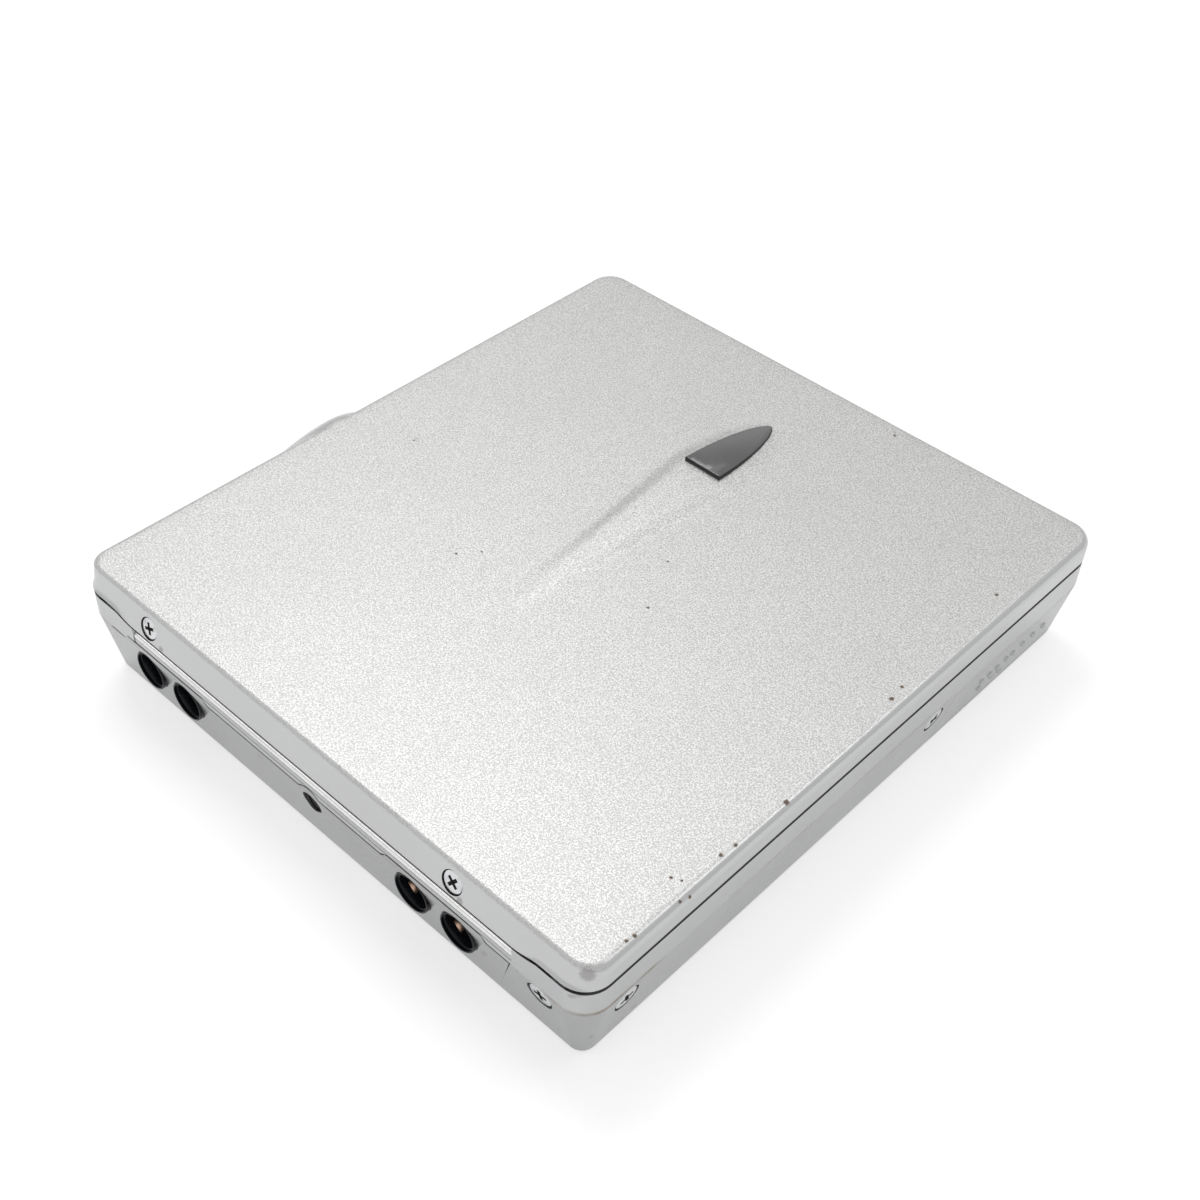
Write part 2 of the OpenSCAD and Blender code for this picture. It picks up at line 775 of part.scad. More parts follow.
module mid_frame() {
    pocket_y = half_d - pocket_wall;
    color([0.76, 0.77, 0.77])
        union() {
            difference() {
                union() {
                    difference() {
                        union() {
                            band_outer();
                            hull()
                                outline_slab(lap_inset, lap_z, shell_h - lap_z + thin);
                        }
                        box([-frame_in, rear_in, lap_z - past], [frame_in, front_in, rim_h + past]);
                    }
                    deck();
                    frame_lugs();
                }
                box([strip_x0, -half_d - past, strip_z], [strip_x1, strip_back, rim_h + past]);
                box([strip_x0, -half_d - past, rear_wall_z], [strip_x1, rear_in + past, rim_h + past]);
                swing_room();
                panel_outline(panel_clear);
                box([jack_room_x0, -half_d + 2.3, lap_z - past],
                    [jack_room_x1, rear_in + past, jack_room_z]);
                for (y = side_screw_ys) {
                    x_rod(shank_r + run_clear, half_w - 6, half_w, y, case_screw_z);
                    side_screw_seat(y);
                }
                y_rod(shank_r + run_clear, -half_d, -half_d + 6, corner_screw_x, corner_screw_z);
                corner_screw_seat();
                box([latch_x0 - latch_travel - 0.5, front_in - past, latch_z - 0.2],
                    [hook_x + hook_w + 0.5, pocket_y, rim_h + past]);
                box([open_x - stem_l / 2 - latch_travel - slack, front_in,
                        latch_z + latch_h / 2 - stem_h / 2 - slack],
                    [open_x + stem_l / 2 + slack, half_d + past, latch_z + latch_h / 2 + stem_h / 2 + slack]);
                box([hold_x - hold_l / 2 - 1.2, front_in - past, latch_z - 0.2],
                    [hold_x + hold_l / 2 + hold_travel + 1.2, pocket_y, latch_z + latch_h + 0.2]);
                box([hold_x - stem_l / 2 - slack, front_in, latch_z + latch_h / 2 - stem_h / 2 - slack],
                    [hold_x + stem_l / 2 + hold_travel + slack, half_d + past,
                     latch_z + latch_h / 2 + stem_h / 2 + slack]);
                box([door_in_x - door_gap, door_y - door_slant, lap_z - past],
                    [half_w + past, half_d + past, door_z1 + door_gap]);
            }
            base_ears();
        }
}

module hinge_strip() {
    edge = -half_d + 0.05;
    clear_r = skirt_swing_r + 0.05;
    crest_y = edge + strip_nose;
    crest_z = hinge_z - sqrt(clear_r * clear_r - pow(hinge_y - crest_y, 2));
    crest_a = atan2(crest_z - hinge_z, crest_y - hinge_y) + 360;
    arc_steps = 5;
    color([0.9, 0.9, 0.9])
        translate([strip_x0 + 0.05, 0, 0])
            rotate([90, 0, 90])
                linear_extrude(height = strip_x1 - strip_x0 - 0.1)
                    polygon([
                        [edge, strip_z],
                        for (a = [180 : -22.5 : 90])
                            [crest_y, crest_z - strip_nose] + strip_nose * [cos(a), sin(a)],
                        for (i = [1 : arc_steps]) let (a = crest_a + (270 - crest_a) * i / arc_steps)
                            [hinge_y, hinge_z] + clear_r * [cos(a), sin(a)],
                        [edge + strip_w, strip_z + strip_t], [edge + strip_w, strip_z]
                    ]);
}

module hinge_pins() {
    color([0.75, 0.75, 0.75])
        for (side = [0, 1])
            mirror([side, 0, 0])
                x_rod(pin_r, carrier_ear_x - 0.1, ear_end_x, hinge_y, hinge_z);
}

// Key outline along X: a bar with round ends
module key_bar(l, w, x0, x1, y) {
    for (end = [-1, 1])
        x_rod(w / 2, x0, x1, y + end * (l - w) / 2, key_z);
    box([x0, y - (l - w) / 2, key_z - w / 2], [x1, y + (l - w) / 2, key_z + w / 2]);
}

// Outline of the battery door's opening, grown by a gap
module door_form(grow) {
    translate([door_in_x - grow, 0, 0])
        rotate([90, 0, 90])
            linear_extrude(height = half_w)
                polygon([
                    [door_y - grow, door_z1 + grow], [half_d + past, door_z1 + grow],
                    [half_d + past, door_z0 - grow], [door_y - door_slant - grow, door_z0 - grow]
                ]);
}

module lower_shell() {
    pocket_x = key_in_x - 0.03;
    color([0.74, 0.74, 0.73])
        union() {
            difference() {
                shell_outer();
                shell_cavity();
                panel_outline(panel_clear);
                for (y = side_screw_ys) {
                    side_screw_seat(y);
                    x_rod(shank_r + slack, half_w - 4, half_w + past, y, case_screw_z);
                }
                corner_screw_seat();
                y_rod(shank_r + slack, -half_d - past, -half_d + 4, corner_screw_x, corner_screw_z);
                for (y = key_ys) {
                    key_bar(key_l + 2 * key_play, key_w + 2 * key_play, -half_w - past, key_in_x + past, y);
                    box([pocket_x, y - key_l / 2 - key_flange - 0.2, key_z - key_w / 2 - key_flange - 0.2],
                        [pocket_x + 3, y + key_l / 2 + key_flange + 0.2,
                            key_z + key_w / 2 + key_flange + 0.2]);
                }
                door_form(door_gap);
                box([door_in_x - 0.35, bay_y0, floor_t + 1.2], [half_w, half_d + past, cell_top - 0.8]);
                box([bay_x1 - past, bay_y0, floor_t], [half_w, bay_y1, cell_top]);
                box([-bay_x1, bay_y0, floor_t], [0, bay_y1, cell_top]);
            }
            for (p = damper_xy)
                translate([p[0], p[1], floor_t - thin])
                    difference() {
                        cylinder(r = post_r, h = chassis_top - floor_t + 0.6);
                        translate([0, 0, 0.5])
                            cylinder(r = 0.55, h = chassis_top);
                    }
        }
}

module jack_panel() {
    color([0.72, 0.72, 0.71])
        difference() {
            intersection() {
                panel_outline(0);
                union() {
                    shell_outer();
                    band_outer();
                }
            }
            hull() {
                outline_slab(side_inset(0) + panel_wall, 0, thin);
                outline_slab(panel_wall, shell_h, frame_band);
            }
            for (x = jack_xs)
                y_rod(jack_r + 0.03, -half_d - past, -half_d + 4, x, jack_z);
            y_rod(insert_r + 0.03, -half_d - past, -half_d + 4, 0, insert_z);
        }
}

module side_pod() {
    gap = 0.01;
    color([0.74, 0.75, 0.75])
        difference() {
            intersection() {
                pod_form();
                box([-half_w - 2 * pod_r, -half_d, 0], [0, half_d, rim_h - 0.02]);
            }
            translate([0, half_d, 0])
                rotate([90, 0, 0])
                    linear_extrude(height = body_d)
                        polygon([
                            [-half_w - gap, body_h], [-half_w - gap, shell_h],
                            [-half_w + taper - gap, 0], [0, 0], [0, body_h]
                        ]);
        }
}

module case_screws() {
    color([0.72, 0.72, 0.72]) {
        for (y = side_screw_ys)
            translate([half_w - side_inset(case_screw_z) - 0.01, y, case_screw_z])
                rotate([0, 90, 0])
                    screw(head_r, head_h, shank_r, 2.4);
        translate([corner_screw_x, -half_d + side_inset(corner_screw_z) + 0.01, corner_screw_z])
            rotate([90, 0, 0])
                screw(head_r, head_h, shank_r, 2.4);
    }
}

// Jack socket: a collar in the panel, a housing on the board and a blind plug hole
module jack(x) {
    end_y = jack_front_y + jack_depth;
    color([0.06, 0.06, 0.07])
        difference() {
            union() {
                y_rod(jack_r, jack_front_y, jack_box_y + 0.5, x, jack_z);
                box([x - jack_box_w / 2, jack_box_y, board_top + 0.03],
                    [x + jack_box_w / 2, end_y + jack_end, jack_box_top]);
            }
            y_rod(jack_bore_r, jack_front_y - past, end_y, x, jack_z);
            box([x + jack_bore_r - 0.4, jack_slot_y, jack_z - jack_slot_h / 2],
                [x + jack_box_w / 2 - 0.4, jack_slot_y + jack_slot_l, jack_z + jack_slot_h / 2]);
        }
}

module jack_left_outer() { jack(jack_xs[0]); }
module jack_left_inner() { jack(jack_xs[1]); }
module jack_right_inner() { jack(jack_xs[2]); }
module jack_right_outer() { jack(jack_xs[3]); }

// Copper leaves in a slot beside each plug hole
module jack_contacts() {
    color([0.72, 0.45, 0.3])
        for (x = jack_xs)
            box([x + jack_bore_r + 0.05, jack_slot_y + slack, jack_z - jack_slot_h / 2 + slack / 2],
                [x + jack_bore_r + 0.3, jack_slot_y + jack_slot_l - slack,
                    jack_z + jack_slot_h / 2 - slack / 2]);
}

module threaded_insert() {
    front_y = -half_d + side_inset(insert_z) + 0.1;
    flange_r = insert_r + 0.6;
    flange_y = -half_d + side_inset(insert_z - flange_r) + panel_wall + 0.05;
    color([0.7, 0.62, 0.4])
        difference() {
            union() {
                y_rod(insert_r, front_y, front_y + insert_l, 0, insert_z);
                y_rod(flange_r, flange_y, flange_y + 0.6, 0, insert_z);
            }
            y_rod(thread_r, front_y - past, front_y + insert_l - 0.5, 0, insert_z);
        }
}

module main_board() {
    color([0.1, 0.32, 0.2])
        union() {
            box([-board_hw, board_rear, board_z], [board_hw, board_front, board_top]);
            box([-board_hw, board_rear, board_z], [board_left, bay_y0 - tray_wall - 0.5, board_top]);
            for (x = [-board_hw + 2, board_hw - 2])
                translate([x, board_rear + 2, floor_t])
                    cylinder(r = 1, h = board_z - floor_t + thin);
        }
}

module board_chips() {
    block_x = (board_left - board_hw) / 2 + 1;
    strip_y = board_front - chip_gap;
    chips = [
        [block_x, spindle_y - chip_w * 0.75, chip_w * 1.1, chip_w * 1.1],
        [block_x, spindle_y + chip_w * 0.85, chip_w * 0.9, chip_w * 0.9],
        [-chip_w * 0.75, strip_y, chip_w, chip_w * 0.6],
        [chip_w * 0.8, strip_y, chip_w * 0.6, chip_w * 0.5],
        [board_hw - chip_w * 0.4, strip_y, chip_w * 0.4, chip_w * 0.5]
    ];
    color([0.07, 0.07, 0.08])
        for (c = chips)
            translate([c[0] - c[2] / 2, c[1] - c[3] / 2, board_top])
                cube([c[2], c[3], chip_t]);
}

module board_capacitors() {
    left_x = jack_xs[1] + jack_box_w / 2 + cap_r + 3;
    color([0.55, 0.5, 0.35])
        for (x = [left_x, left_x + 2.2 * cap_r, jack_xs[2] - jack_box_w / 2 - cap_r - 1,
                board_hw - 2.3 * cap_r])
            translate([x, cap_y, board_top])
                cylinder(r = cap_r, h = cap_h);
}

module key_board() {
    color([0.1, 0.32, 0.2])
        box([key_board_x, key_ys[0] - 3, board_top + 0.02],
            [key_board_x + key_board_t, key_ys[len(key_ys) - 1] + 3, deck_z - 0.2]);
}

module key_switches() {
    color([0.8, 0.8, 0.78])
        for (y = key_ys)
            box([switch_x, y - switch_w / 2, key_z - switch_w / 2],
                [key_board_x, y + switch_w / 2, key_z + switch_w / 2]);
}

// Key: a cap in the wall and a flange behind it
module key(i) {
    color([0.78, 0.79, 0.8])
        union() {
            key_bar(key_l, key_w, key_out_x, key_in_x + key_flange_t, key_ys[i]);
            key_bar(key_l + 2 * key_flange, key_w + 2 * key_flange, key_in_x,
                key_in_x + key_flange_t, key_ys[i]);
        }
}

module volume_down_key() { key(0); }
module volume_up_key() { key(1); }
module play_key() { key(2); }
module stop_key() { key(3); }
module skip_back_key() { key(4); }
module skip_forward_key() { key(5); }

// Posts that hold the guide rods and the far end of the lead screw
module rod_posts() {
    half = rod_r + 0.5;
    for (x = [rod_x0, rod_x1 - post_w], y = rod_ys)
        box([x, y - half, chassis_top - thin], [x + post_w, y + half, rod_z + half]);
    box([rod_x1 - post_w, lead_y - half, chassis_top - thin], [rod_x1, lead_y + half, rod_z + half]);
}

module mech_chassis() {
    motor_x1 = rod_x0 + 0.3;
    color([0.66, 0.66, 0.64])
        difference() {
            union() {
                box([chassis_x0, chassis_y0, chassis_z], [chassis_x1, chassis_y1, chassis_top]);
                rod_posts();
            }
            for (p = damper_xy)
                translate([p[0], p[1], chassis_z - past])
                    cylinder(r = damper_r + 0.03, h = chassis_t + 2 * past);
            for (y = rod_ys)
                x_rod(rod_r + thin, rod_x0 - past, rod_x1 + past, y, rod_z);
            x_rod(lead_tip_r + run_clear, rod_x1 - post_w - past, rod_x1 + past, lead_y, rod_z);
            box([motor_x1 - motor_can_l - 1, lead_y - sled_motor_r - 0.3, chassis_z - past],
                [motor_x1, lead_y + sled_motor_r + 0.3, chassis_top + past]);
        }
}

module chassis_dampers() {
    color([0.1, 0.1, 0.1])
        for (p = damper_xy)
            translate([p[0], p[1], chassis_z - 0.4])
                difference() {
                    cylinder(r = damper_r, h = chassis_t + 0.8);
                    translate([0, 0, -past])
                        cylinder(r = post_r + 0.03, h = chassis_t + 3 * past);
                }
}

module chassis_screws() {
    color([0.7, 0.7, 0.7])
        for (p = damper_xy)
            translate([p[0], p[1], chassis_top + 0.6 + 0.5])
                screw(1.3, 0.45, 0.5, 1.6);
}

module spindle_motor() {
    base_t = 0.5;
    color([0.6, 0.6, 0.6])
        difference() {
            union() {
                translate([0, spindle_y, chassis_top])
                    cylinder(r = motor_r, h = base_t);
                translate([0, spindle_y, chassis_top + base_t - thin])
                    cylinder(r = motor_r - 1.2, h = motor_top - chassis_top - base_t);
                translate([0, spindle_y, motor_top - 2 * thin])
                    cylinder(r = shaft_r + 1, h = sleeve_h);
            }
            translate([0, spindle_y, chassis_top + 0.3])
                cylinder(r = shaft_r + run_clear, h = 10);
        }
}

module turntable() {
    color([0.15, 0.15, 0.16])
        translate([0, spindle_y, 0])
            union() {
                translate([0, 0, chassis_top + 0.4])
                    cylinder(r = shaft_r, h = table_z - chassis_top);
                translate([0, 0, table_z])
                    cylinder(r = table_r, h = table_t);
                translate([0, 0, table_z + table_t - thin])
                    cylinder(r = table_r - 1.2, h = step_t);
                translate([0, 0, magnet_z - 2 * thin])
                    cylinder(r1 = hub_r, r2 = hub_r - 0.5, h = hub_top - magnet_z);
            }
}

module hub_magnet() {
    color([0.4, 0.4, 0.42])
        translate([0, spindle_y, magnet_z])
            difference() {
                cylinder(r = magnet_r, h = magnet_t);
                translate([0, 0, -past])
                    cylinder(r = hub_r + slack, h = magnet_t + 2 * past);
            }
}

module guide_rods() {
    color([0.78, 0.78, 0.78])
        for (y = rod_ys)
            x_rod(rod_r, rod_x0, rod_x1, y, rod_z);
}

module pickup_sled() {
    color([0.3, 0.3, 0.32])
        difference() {
            box([sled_x0, spindle_y - sled_hw, sled_z0], [sled_x1, spindle_y + sled_hw, sled_z1]);
            for (y = rod_ys)
                x_rod(rod_r + run_clear, sled_x0 - past, sled_x1 + past, y, rod_z);
            translate([0, spindle_y, sled_z0 - past])
                cylinder(r = motor_r + 3.2, h = 3);
        }
}

module sled_nut() {
    nut_x0 = sled_x0 + 3;
    nut_x1 = sled_x0 + 7;
    half = screw_r + 0.7;
    color([0.85, 0.84, 0.8])
        difference() {
            box([nut_x0, lead_y - half, rod_z - half + 0.3], [nut_x1, spindle_y - sled_hw, rod_z + half]);
            x_rod(screw_r + run_clear, nut_x0 - past, nut_x1 + past, lead_y, rod_z);
        }
}

module lens_mount() {
    color([0.12, 0.12, 0.13])
        difference() {
            box([lens_in - mount_back, spindle_y - mount_hw, sled_z1],
                [lens_in + mount_front, spindle_y + mount_hw, sled_z1 + mount_t]);
            translate([lens_in, spindle_y, sled_z1 - past])
                cylinder(r = lens_r + 0.03, h = mount_t + 2 * past);
        }
}

module objective_lens() {
    dome_r = 4;
    color([0.5, 0.55, 0.75])
        intersection() {
            translate([lens_in, spindle_y, sled_z1])
                cylinder(r = lens_r, h = 1.2);
            translate([lens_in, spindle_y, sled_z1 + 1 - dome_r])
                sphere(r = dome_r);
        }
}

module lead_screw() {
    motor_x1 = rod_x0;
    color([0.75, 0.75, 0.75])
        union() {
            x_rod(screw_r, motor_x1 + 0.2, rod_x1 - post_w - 0.2, lead_y, rod_z);
            x_rod(lead_tip_r, rod_x1 - post_w - 0.3, rod_x1 - 0.1, lead_y, rod_z);
            x_rod(lead_neck_r, motor_x1 - 3, motor_x1 + 0.3, lead_y, rod_z);
        }
}

module sled_motor() {
    motor_x1 = rod_x0;
    color([0.68, 0.68, 0.66])
        difference() {
            union() {
                x_rod(sled_motor_r, motor_x1 - motor_can_l, motor_x1, lead_y, rod_z);
                box([motor_x1 - 1, lead_y - sled_motor_r - 1.6, chassis_top + 0.02],
                    [motor_x1 - 0.2, lead_y + sled_motor_r + 1.6, rod_z + 1]);
                for (side = [-1, 1])
                    box([motor_x1 - 4, lead_y + side * (sled_motor_r + 1) - 0.6, chassis_top + 0.02],
                        [motor_x1 - 0.2, lead_y + side * (sled_motor_r + 1) + 0.6, chassis_top + 0.5]);
            }
            x_rod(lead_neck_r + run_clear, motor_x1 - 3.2, motor_x1 + past, lead_y, rod_z);
        }
}

module battery_tray() {
    front_y = bay_y1 + 0.1;
    color([0.2, 0.2, 0.21])
        union() {
            box([-bay_x1, bay_y0 - tray_wall, floor_t + 0.02], [bay_x1, bay_y0, cell_top + thin]);
            box([-bay_x1, bay_y0 - tray_wall, cell_top], [bay_x1, front_y, deck_top]);
        }
}

module battery_contact() {
    x0 = -half_w + side_inset(floor_t) + shell_wall + 0.05;
    color([0.8, 0.74, 0.55])
        union() {
            box([x0, bay_y0 + contact_in, floor_t + 1], [x0 + 0.15, bay_y1 - contact_in, cell_top - 0.6]);
            box([x0, bay_y0 + 2 * contact_in, floor_t + 2],
                [x0 + contact_t, bay_y1 - 2 * contact_in, cell_top - 2]);
        }
}

module battery_door() {
    color([0.72, 0.73, 0.73])
        union() {
            intersection() {
                shell_outer();
                door_form(0);
            }
            for (d = dots)
                translate([half_w - side_inset(d[1]) - dot_r + dot_proud - 0.05, d[0], d[1]])
                    sphere(r = dot_r, $fn = 24);
        }
}

module door_contact() {
    color([0.8, 0.74, 0.55])
        box([door_in_x - contact_t, bay_y0 + contact_in, floor_t + 1.4],
            [door_in_x, bay_y1 - contact_in, cell_top - 1]);
}

// Slide knob in the front wall: a cap outside and a stem through the slot
module slide_knob(x, cap_l) {
    z = latch_z + latch_h / 2;
    box([x - cap_l / 2, half_d + slack, z - knob_h / 2], [x + cap_l / 2, half_d + knob_out, z + knob_h / 2]);
    box([x - stem_l / 2, latch_y + latch_t - thin, z - stem_h / 2],
        [x + stem_l / 2, half_d + slack + thin, z + stem_h / 2]);
}

module hold_knob() {
    color([0.7, 0.7, 0.7])
        union() {
            slide_knob(hold_x, hold_l);
            box([hold_x - hold_l / 2 - 0.8, latch_y, latch_z],
                [hold_x + hold_l / 2 + 0.8, latch_y + latch_t, latch_z + latch_h]);
        }
}

module open_knob() {
    color([0.7, 0.7, 0.7])
        difference() {
            slide_knob(open_x, open_l);
            for (i = [-2 : 2])
                box([open_x + i * 1.2 - 0.15, half_d + knob_out - 0.2, latch_z - past],
                    [open_x + i * 1.2 + 0.15, half_d + knob_out + past, latch_z + latch_h + past]);
        }
}

module latch_bar() {
    finger = 4;
    color([0.64, 0.64, 0.62])
        union() {
            box([latch_x0, latch_y, latch_z],
                [latch_x1 - finger, latch_y + latch_t - thin, latch_z + latch_h]);
            box([latch_x1 - finger - thin, latch_y, latch_z + latch_h - 0.6],
                [latch_x1, latch_y + latch_t - thin, latch_z + latch_h]);
        }
}

lid_shell();
lid_window();
lid_bracket();
lid_screws();
lid_hook();
disc_carrier();
carrier_springs();
mid_frame();
hinge_strip();
hinge_pins();
lower_shell();
jack_panel();
side_pod();
case_screws();
jack_left_outer();
jack_left_inner();
jack_right_inner();
jack_right_outer();
jack_contacts();
threaded_insert();
main_board();
board_chips();
board_capacitors();
key_board();
key_switches();
mech_chassis();
chassis_dampers();
chassis_screws();
spindle_motor();
turntable();
hub_magnet();
guide_rods();
pickup_sled();
sled_nut();
lens_mount();
objective_lens();
lead_screw();
sled_motor();
battery_tray();
battery_contact();
battery_door();
door_contact();
volume_down_key();
volume_up_key();
play_key();
stop_key();
skip_back_key();
skip_forward_key();
hold_knob();
open_knob();
latch_bar();
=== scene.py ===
"""Silver clamshell disc player: the visible pieces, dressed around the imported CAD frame."""
import math
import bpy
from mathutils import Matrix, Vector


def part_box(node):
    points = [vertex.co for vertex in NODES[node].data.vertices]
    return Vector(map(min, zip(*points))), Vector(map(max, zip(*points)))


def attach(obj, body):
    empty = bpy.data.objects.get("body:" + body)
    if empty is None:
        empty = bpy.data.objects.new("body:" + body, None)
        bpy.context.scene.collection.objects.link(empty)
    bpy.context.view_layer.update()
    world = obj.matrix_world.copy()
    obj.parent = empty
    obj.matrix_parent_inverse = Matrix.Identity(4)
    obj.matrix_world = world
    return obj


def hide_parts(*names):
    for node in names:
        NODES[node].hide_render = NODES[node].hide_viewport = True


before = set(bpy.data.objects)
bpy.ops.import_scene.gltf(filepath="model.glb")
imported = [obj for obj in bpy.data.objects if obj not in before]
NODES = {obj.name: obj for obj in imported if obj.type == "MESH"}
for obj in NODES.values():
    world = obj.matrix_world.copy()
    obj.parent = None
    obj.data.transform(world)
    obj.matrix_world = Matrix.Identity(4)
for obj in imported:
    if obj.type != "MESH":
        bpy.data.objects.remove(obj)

from types import SimpleNamespace

import bmesh
import bpy
import numpy as np
from bpy.props import FloatProperty, FloatVectorProperty, PointerProperty
from mathutils import Matrix

bl_info = {
    "name": "Clamshell disc player",
    "version": (1, 0, 0),
    "blender": (4, 5, 0),
    "location": "View3D > Sidebar > Player",
    "description": "Builds the casing, fittings and finishes of a disc player around its CAD frame",
    "category": "Object",
}

MM = 0.001
QUARTER = np.pi / 2
CORNERS = ((-1, -1), (1, -1), (1, 1), (-1, 1))
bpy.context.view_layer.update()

# Angle in degrees from which an edge stays sharp, and the merging distances in metres
SHARP = 32.0
MERGE = 2e-7
DEGENERATE = 1e-8
WELD = 1e-6


def length(name, text, mm):
    """A length property, given in millimetres and kept in metres."""
    return FloatProperty(
        name=name, description=text, default=mm * MM, unit="LENGTH", precision=5
    )


def colour(name, text, rgb):
    """A colour property."""
    return FloatVectorProperty(
        name=name, description=text, default=(*rgb, 1.0), size=4, subtype="COLOR", min=0.0, max=1.0
    )


class PlayerSizes(bpy.types.PropertyGroup):
    """Sizes of the dressed pieces; the pieces that stay from the CAD keep their own."""

    width: length("Width", "Casing across the disc", 72.3)
    depth: length("Depth", "Casing along the disc", 80.0)
    height: length("Height", "Top of the lid above the table", 14.5)
    corner: length("Corner radius", "Plan radius of the casing's corners", 3.0)
    edge: length("Edge radius", "Rounding of the lid's top edge", 1.0)
    hinge_edge: length("Hinge edge radius", "Rounding of the lid's top edge above the hinge", 0.45)
    hinge_draft: length("Hinge side draft", "Draw-in of the lid's wall above the hinge", 0.8)
    taper: length("Taper", "Draw-in of the lower shell at the table", 1.5)
    lid_wall: length("Lid wall", "Thickness of the lid's sides", 0.9)
    lid_ceiling: length("Lid ceiling", "Underside of the lid's top", 13.7)
    lid_low: length("Lid edge", "Lower edge of the lid at its sides", 11.66)
    skirt: length("Skirt edge", "Lower edge of the lid along the hinge", 10.95)
    shell_h: length("Shell height", "Top of the lower shell", 8.3)
    strip_left: length("Strip start", "Left end of the bright strip", -27.6)
    strip_right: length("Strip end", "Right end of the bright strip", 27.3)
    s_curve: length("S curve", "Length of the curves at the skirt's ends", 3.4)
    ridge_x: length("Ridge place", "Sideways place of the lid's ridge", -0.4)
    ridge_tail: length("Ridge tail", "Start of the ridge", -15.0)
    ridge_h: length("Ridge height", "Height of the ridge at the window", 0.62)
    window_y: length("Window start", "Straight end of the window", 16.6)
    window_l: length("Window length", "Straight end to tip", 12.2)
    window_w: length("Window width", "Width of the straight end", 5.0)
    window_h: length("Window height", "Height of the straight end above the lid", 1.1)
    jack_r: length("Jack collar", "Radius of a jack's black collar", 2.25)
    jack_bore: length("Jack hole", "Radius of a plug hole", 1.75)
    jack_z: length("Jack height", "Height of the jacks' axes", 6.0)
    screw_head: length("Screw head", "Radius of a casing screw's head", 1.34)
    screw_seat: length("Screw seat", "Radius of a casing screw's seat", 1.53)
    grain: length("Grain size", "Width of one fleck of the lid's grained paint", 0.15)
    grain_depth: length("Grain depth", "Depth of the lid's grained paint", 0.018)


class PlayerFinishes(bpy.types.PropertyGroup):
    """Colours of the finishes."""

    lid_paint: colour("Lid paint", "Grained silver paint of the lid's top", (0.72, 0.72, 0.71))
    lid_side: colour("Lid side paint", "Smooth silver of the lid's sides", (0.68, 0.685, 0.685))
    frame_paint: colour("Frame paint", "Silver paint of the frame", (0.65, 0.655, 0.66))
    # Darker than the frame paint: partly the shell's own tone, partly painted shade of its walls,
    # which lean in towards the table
    base_paint: colour("Base paint", "Silver paint of the lower shell", (0.54, 0.545, 0.545))
    smoke: colour("Window", "Smoked plastic of the window", (0.13, 0.128, 0.13))
    jack_black: colour("Jack plastic", "Black plastic of the jacks", (0.006, 0.007, 0.010))
    steel: colour("Steel", "Bare steel", (0.62, 0.62, 0.61))
    screw_steel: colour("Screw steel", "Plated steel of the screws", (0.80, 0.81, 0.83))
    copper: colour("Copper", "Contact leaves of the jacks", (0.86, 0.58, 0.43))
    dirt: colour("Dirt", "Brown dirt in creases and chips", (0.16, 0.10, 0.055))
    floor: colour("Floor", "Pale table", (0.90, 0.90, 0.90))


def sizes():
    """All sizes in millimetres, with the half sizes that the surfaces use."""
    group = bpy.context.scene.player_sizes
    s = SimpleNamespace(**{name: getattr(group, name) / MM for name in PlayerSizes.__annotations__})
    s.half_w, s.half_d = s.width / 2, s.depth / 2
    return s


def tint(which, gain=1.0, lift=0.0):
    """A finish colour by its name, or three numbers, times a gain plus a lift, as RGBA."""
    if isinstance(which, str):
        which = getattr(bpy.context.scene.player_finishes, which)[:3]
    return (*(min(1.0, c * gain + lift) for c in which), 1.0)


def ease(t):
    """Smooth step from 0 to 1: half a cosine wave."""
    return (1 - np.cos(np.pi * np.clip(t, 0, 1))) / 2


def quads(rows, cols, wrap=False):
    """Faces of a grid of rows x cols points, closed along the columns if wrap."""
    last = cols if wrap else cols - 1
    i, j = np.meshgrid(np.arange(rows - 1) * cols, np.arange(last), indexing="ij")
    k = (j + 1) % cols
    return np.stack([i + j, i + k, i + cols + k, i + cols + j], -1).reshape(-1, 4)


def merged(*parts):
    """Joins (points, faces) pairs into one; faces may be arrays or lists."""
    points, faces, start = [], [], 0
    for p, f in parts:
        points.append(np.asarray(p, float).reshape(-1, 3))
        faces += [[int(v) + start for v in face] for face in f]
        start += len(points[-1])
    return np.vstack(points), faces


def capped(rings):
    """A solid from a stack of closed loops of points, with a flat face on either end."""
    loop = list(range(len(rings[0])))
    sides = (np.vstack(rings), quads(len(rings), len(loop), wrap=True))
    return merged(sides, (rings[0], [loop[::-1]]), (rings[-1], [loop]))


def plate(front, back):
    """A solid between two grids of points of one size, joined along their rims."""
    rows, cols = front.shape[:2]
    count = rows * cols
    rim = np.concatenate([
        np.arange(cols), np.arange(2 * cols - 1, count, cols),
        np.arange(count - 2, count - cols - 1, -1), np.arange(count - 2 * cols, 0, -cols),
    ])
    after = np.roll(rim, -1)
    faces = quads(rows, cols)
    edge = np.column_stack([rim + count, after + count, after, rim])
    return merged((np.stack([front, back]), np.vstack([faces, faces[:, ::-1] + count, edge])))


def smooth(mesh, angle=SHARP):
    """Smooth shading up to an angle in degrees."""
    mesh.shade_smooth()
    mesh.set_sharp_from_angle(angle=math.radians(angle))


def put(data, name):
    """A new object for some data, linked into the scene."""
    obj = bpy.data.objects.new(name, data)
    bpy.context.scene.collection.objects.link(obj)
    return obj


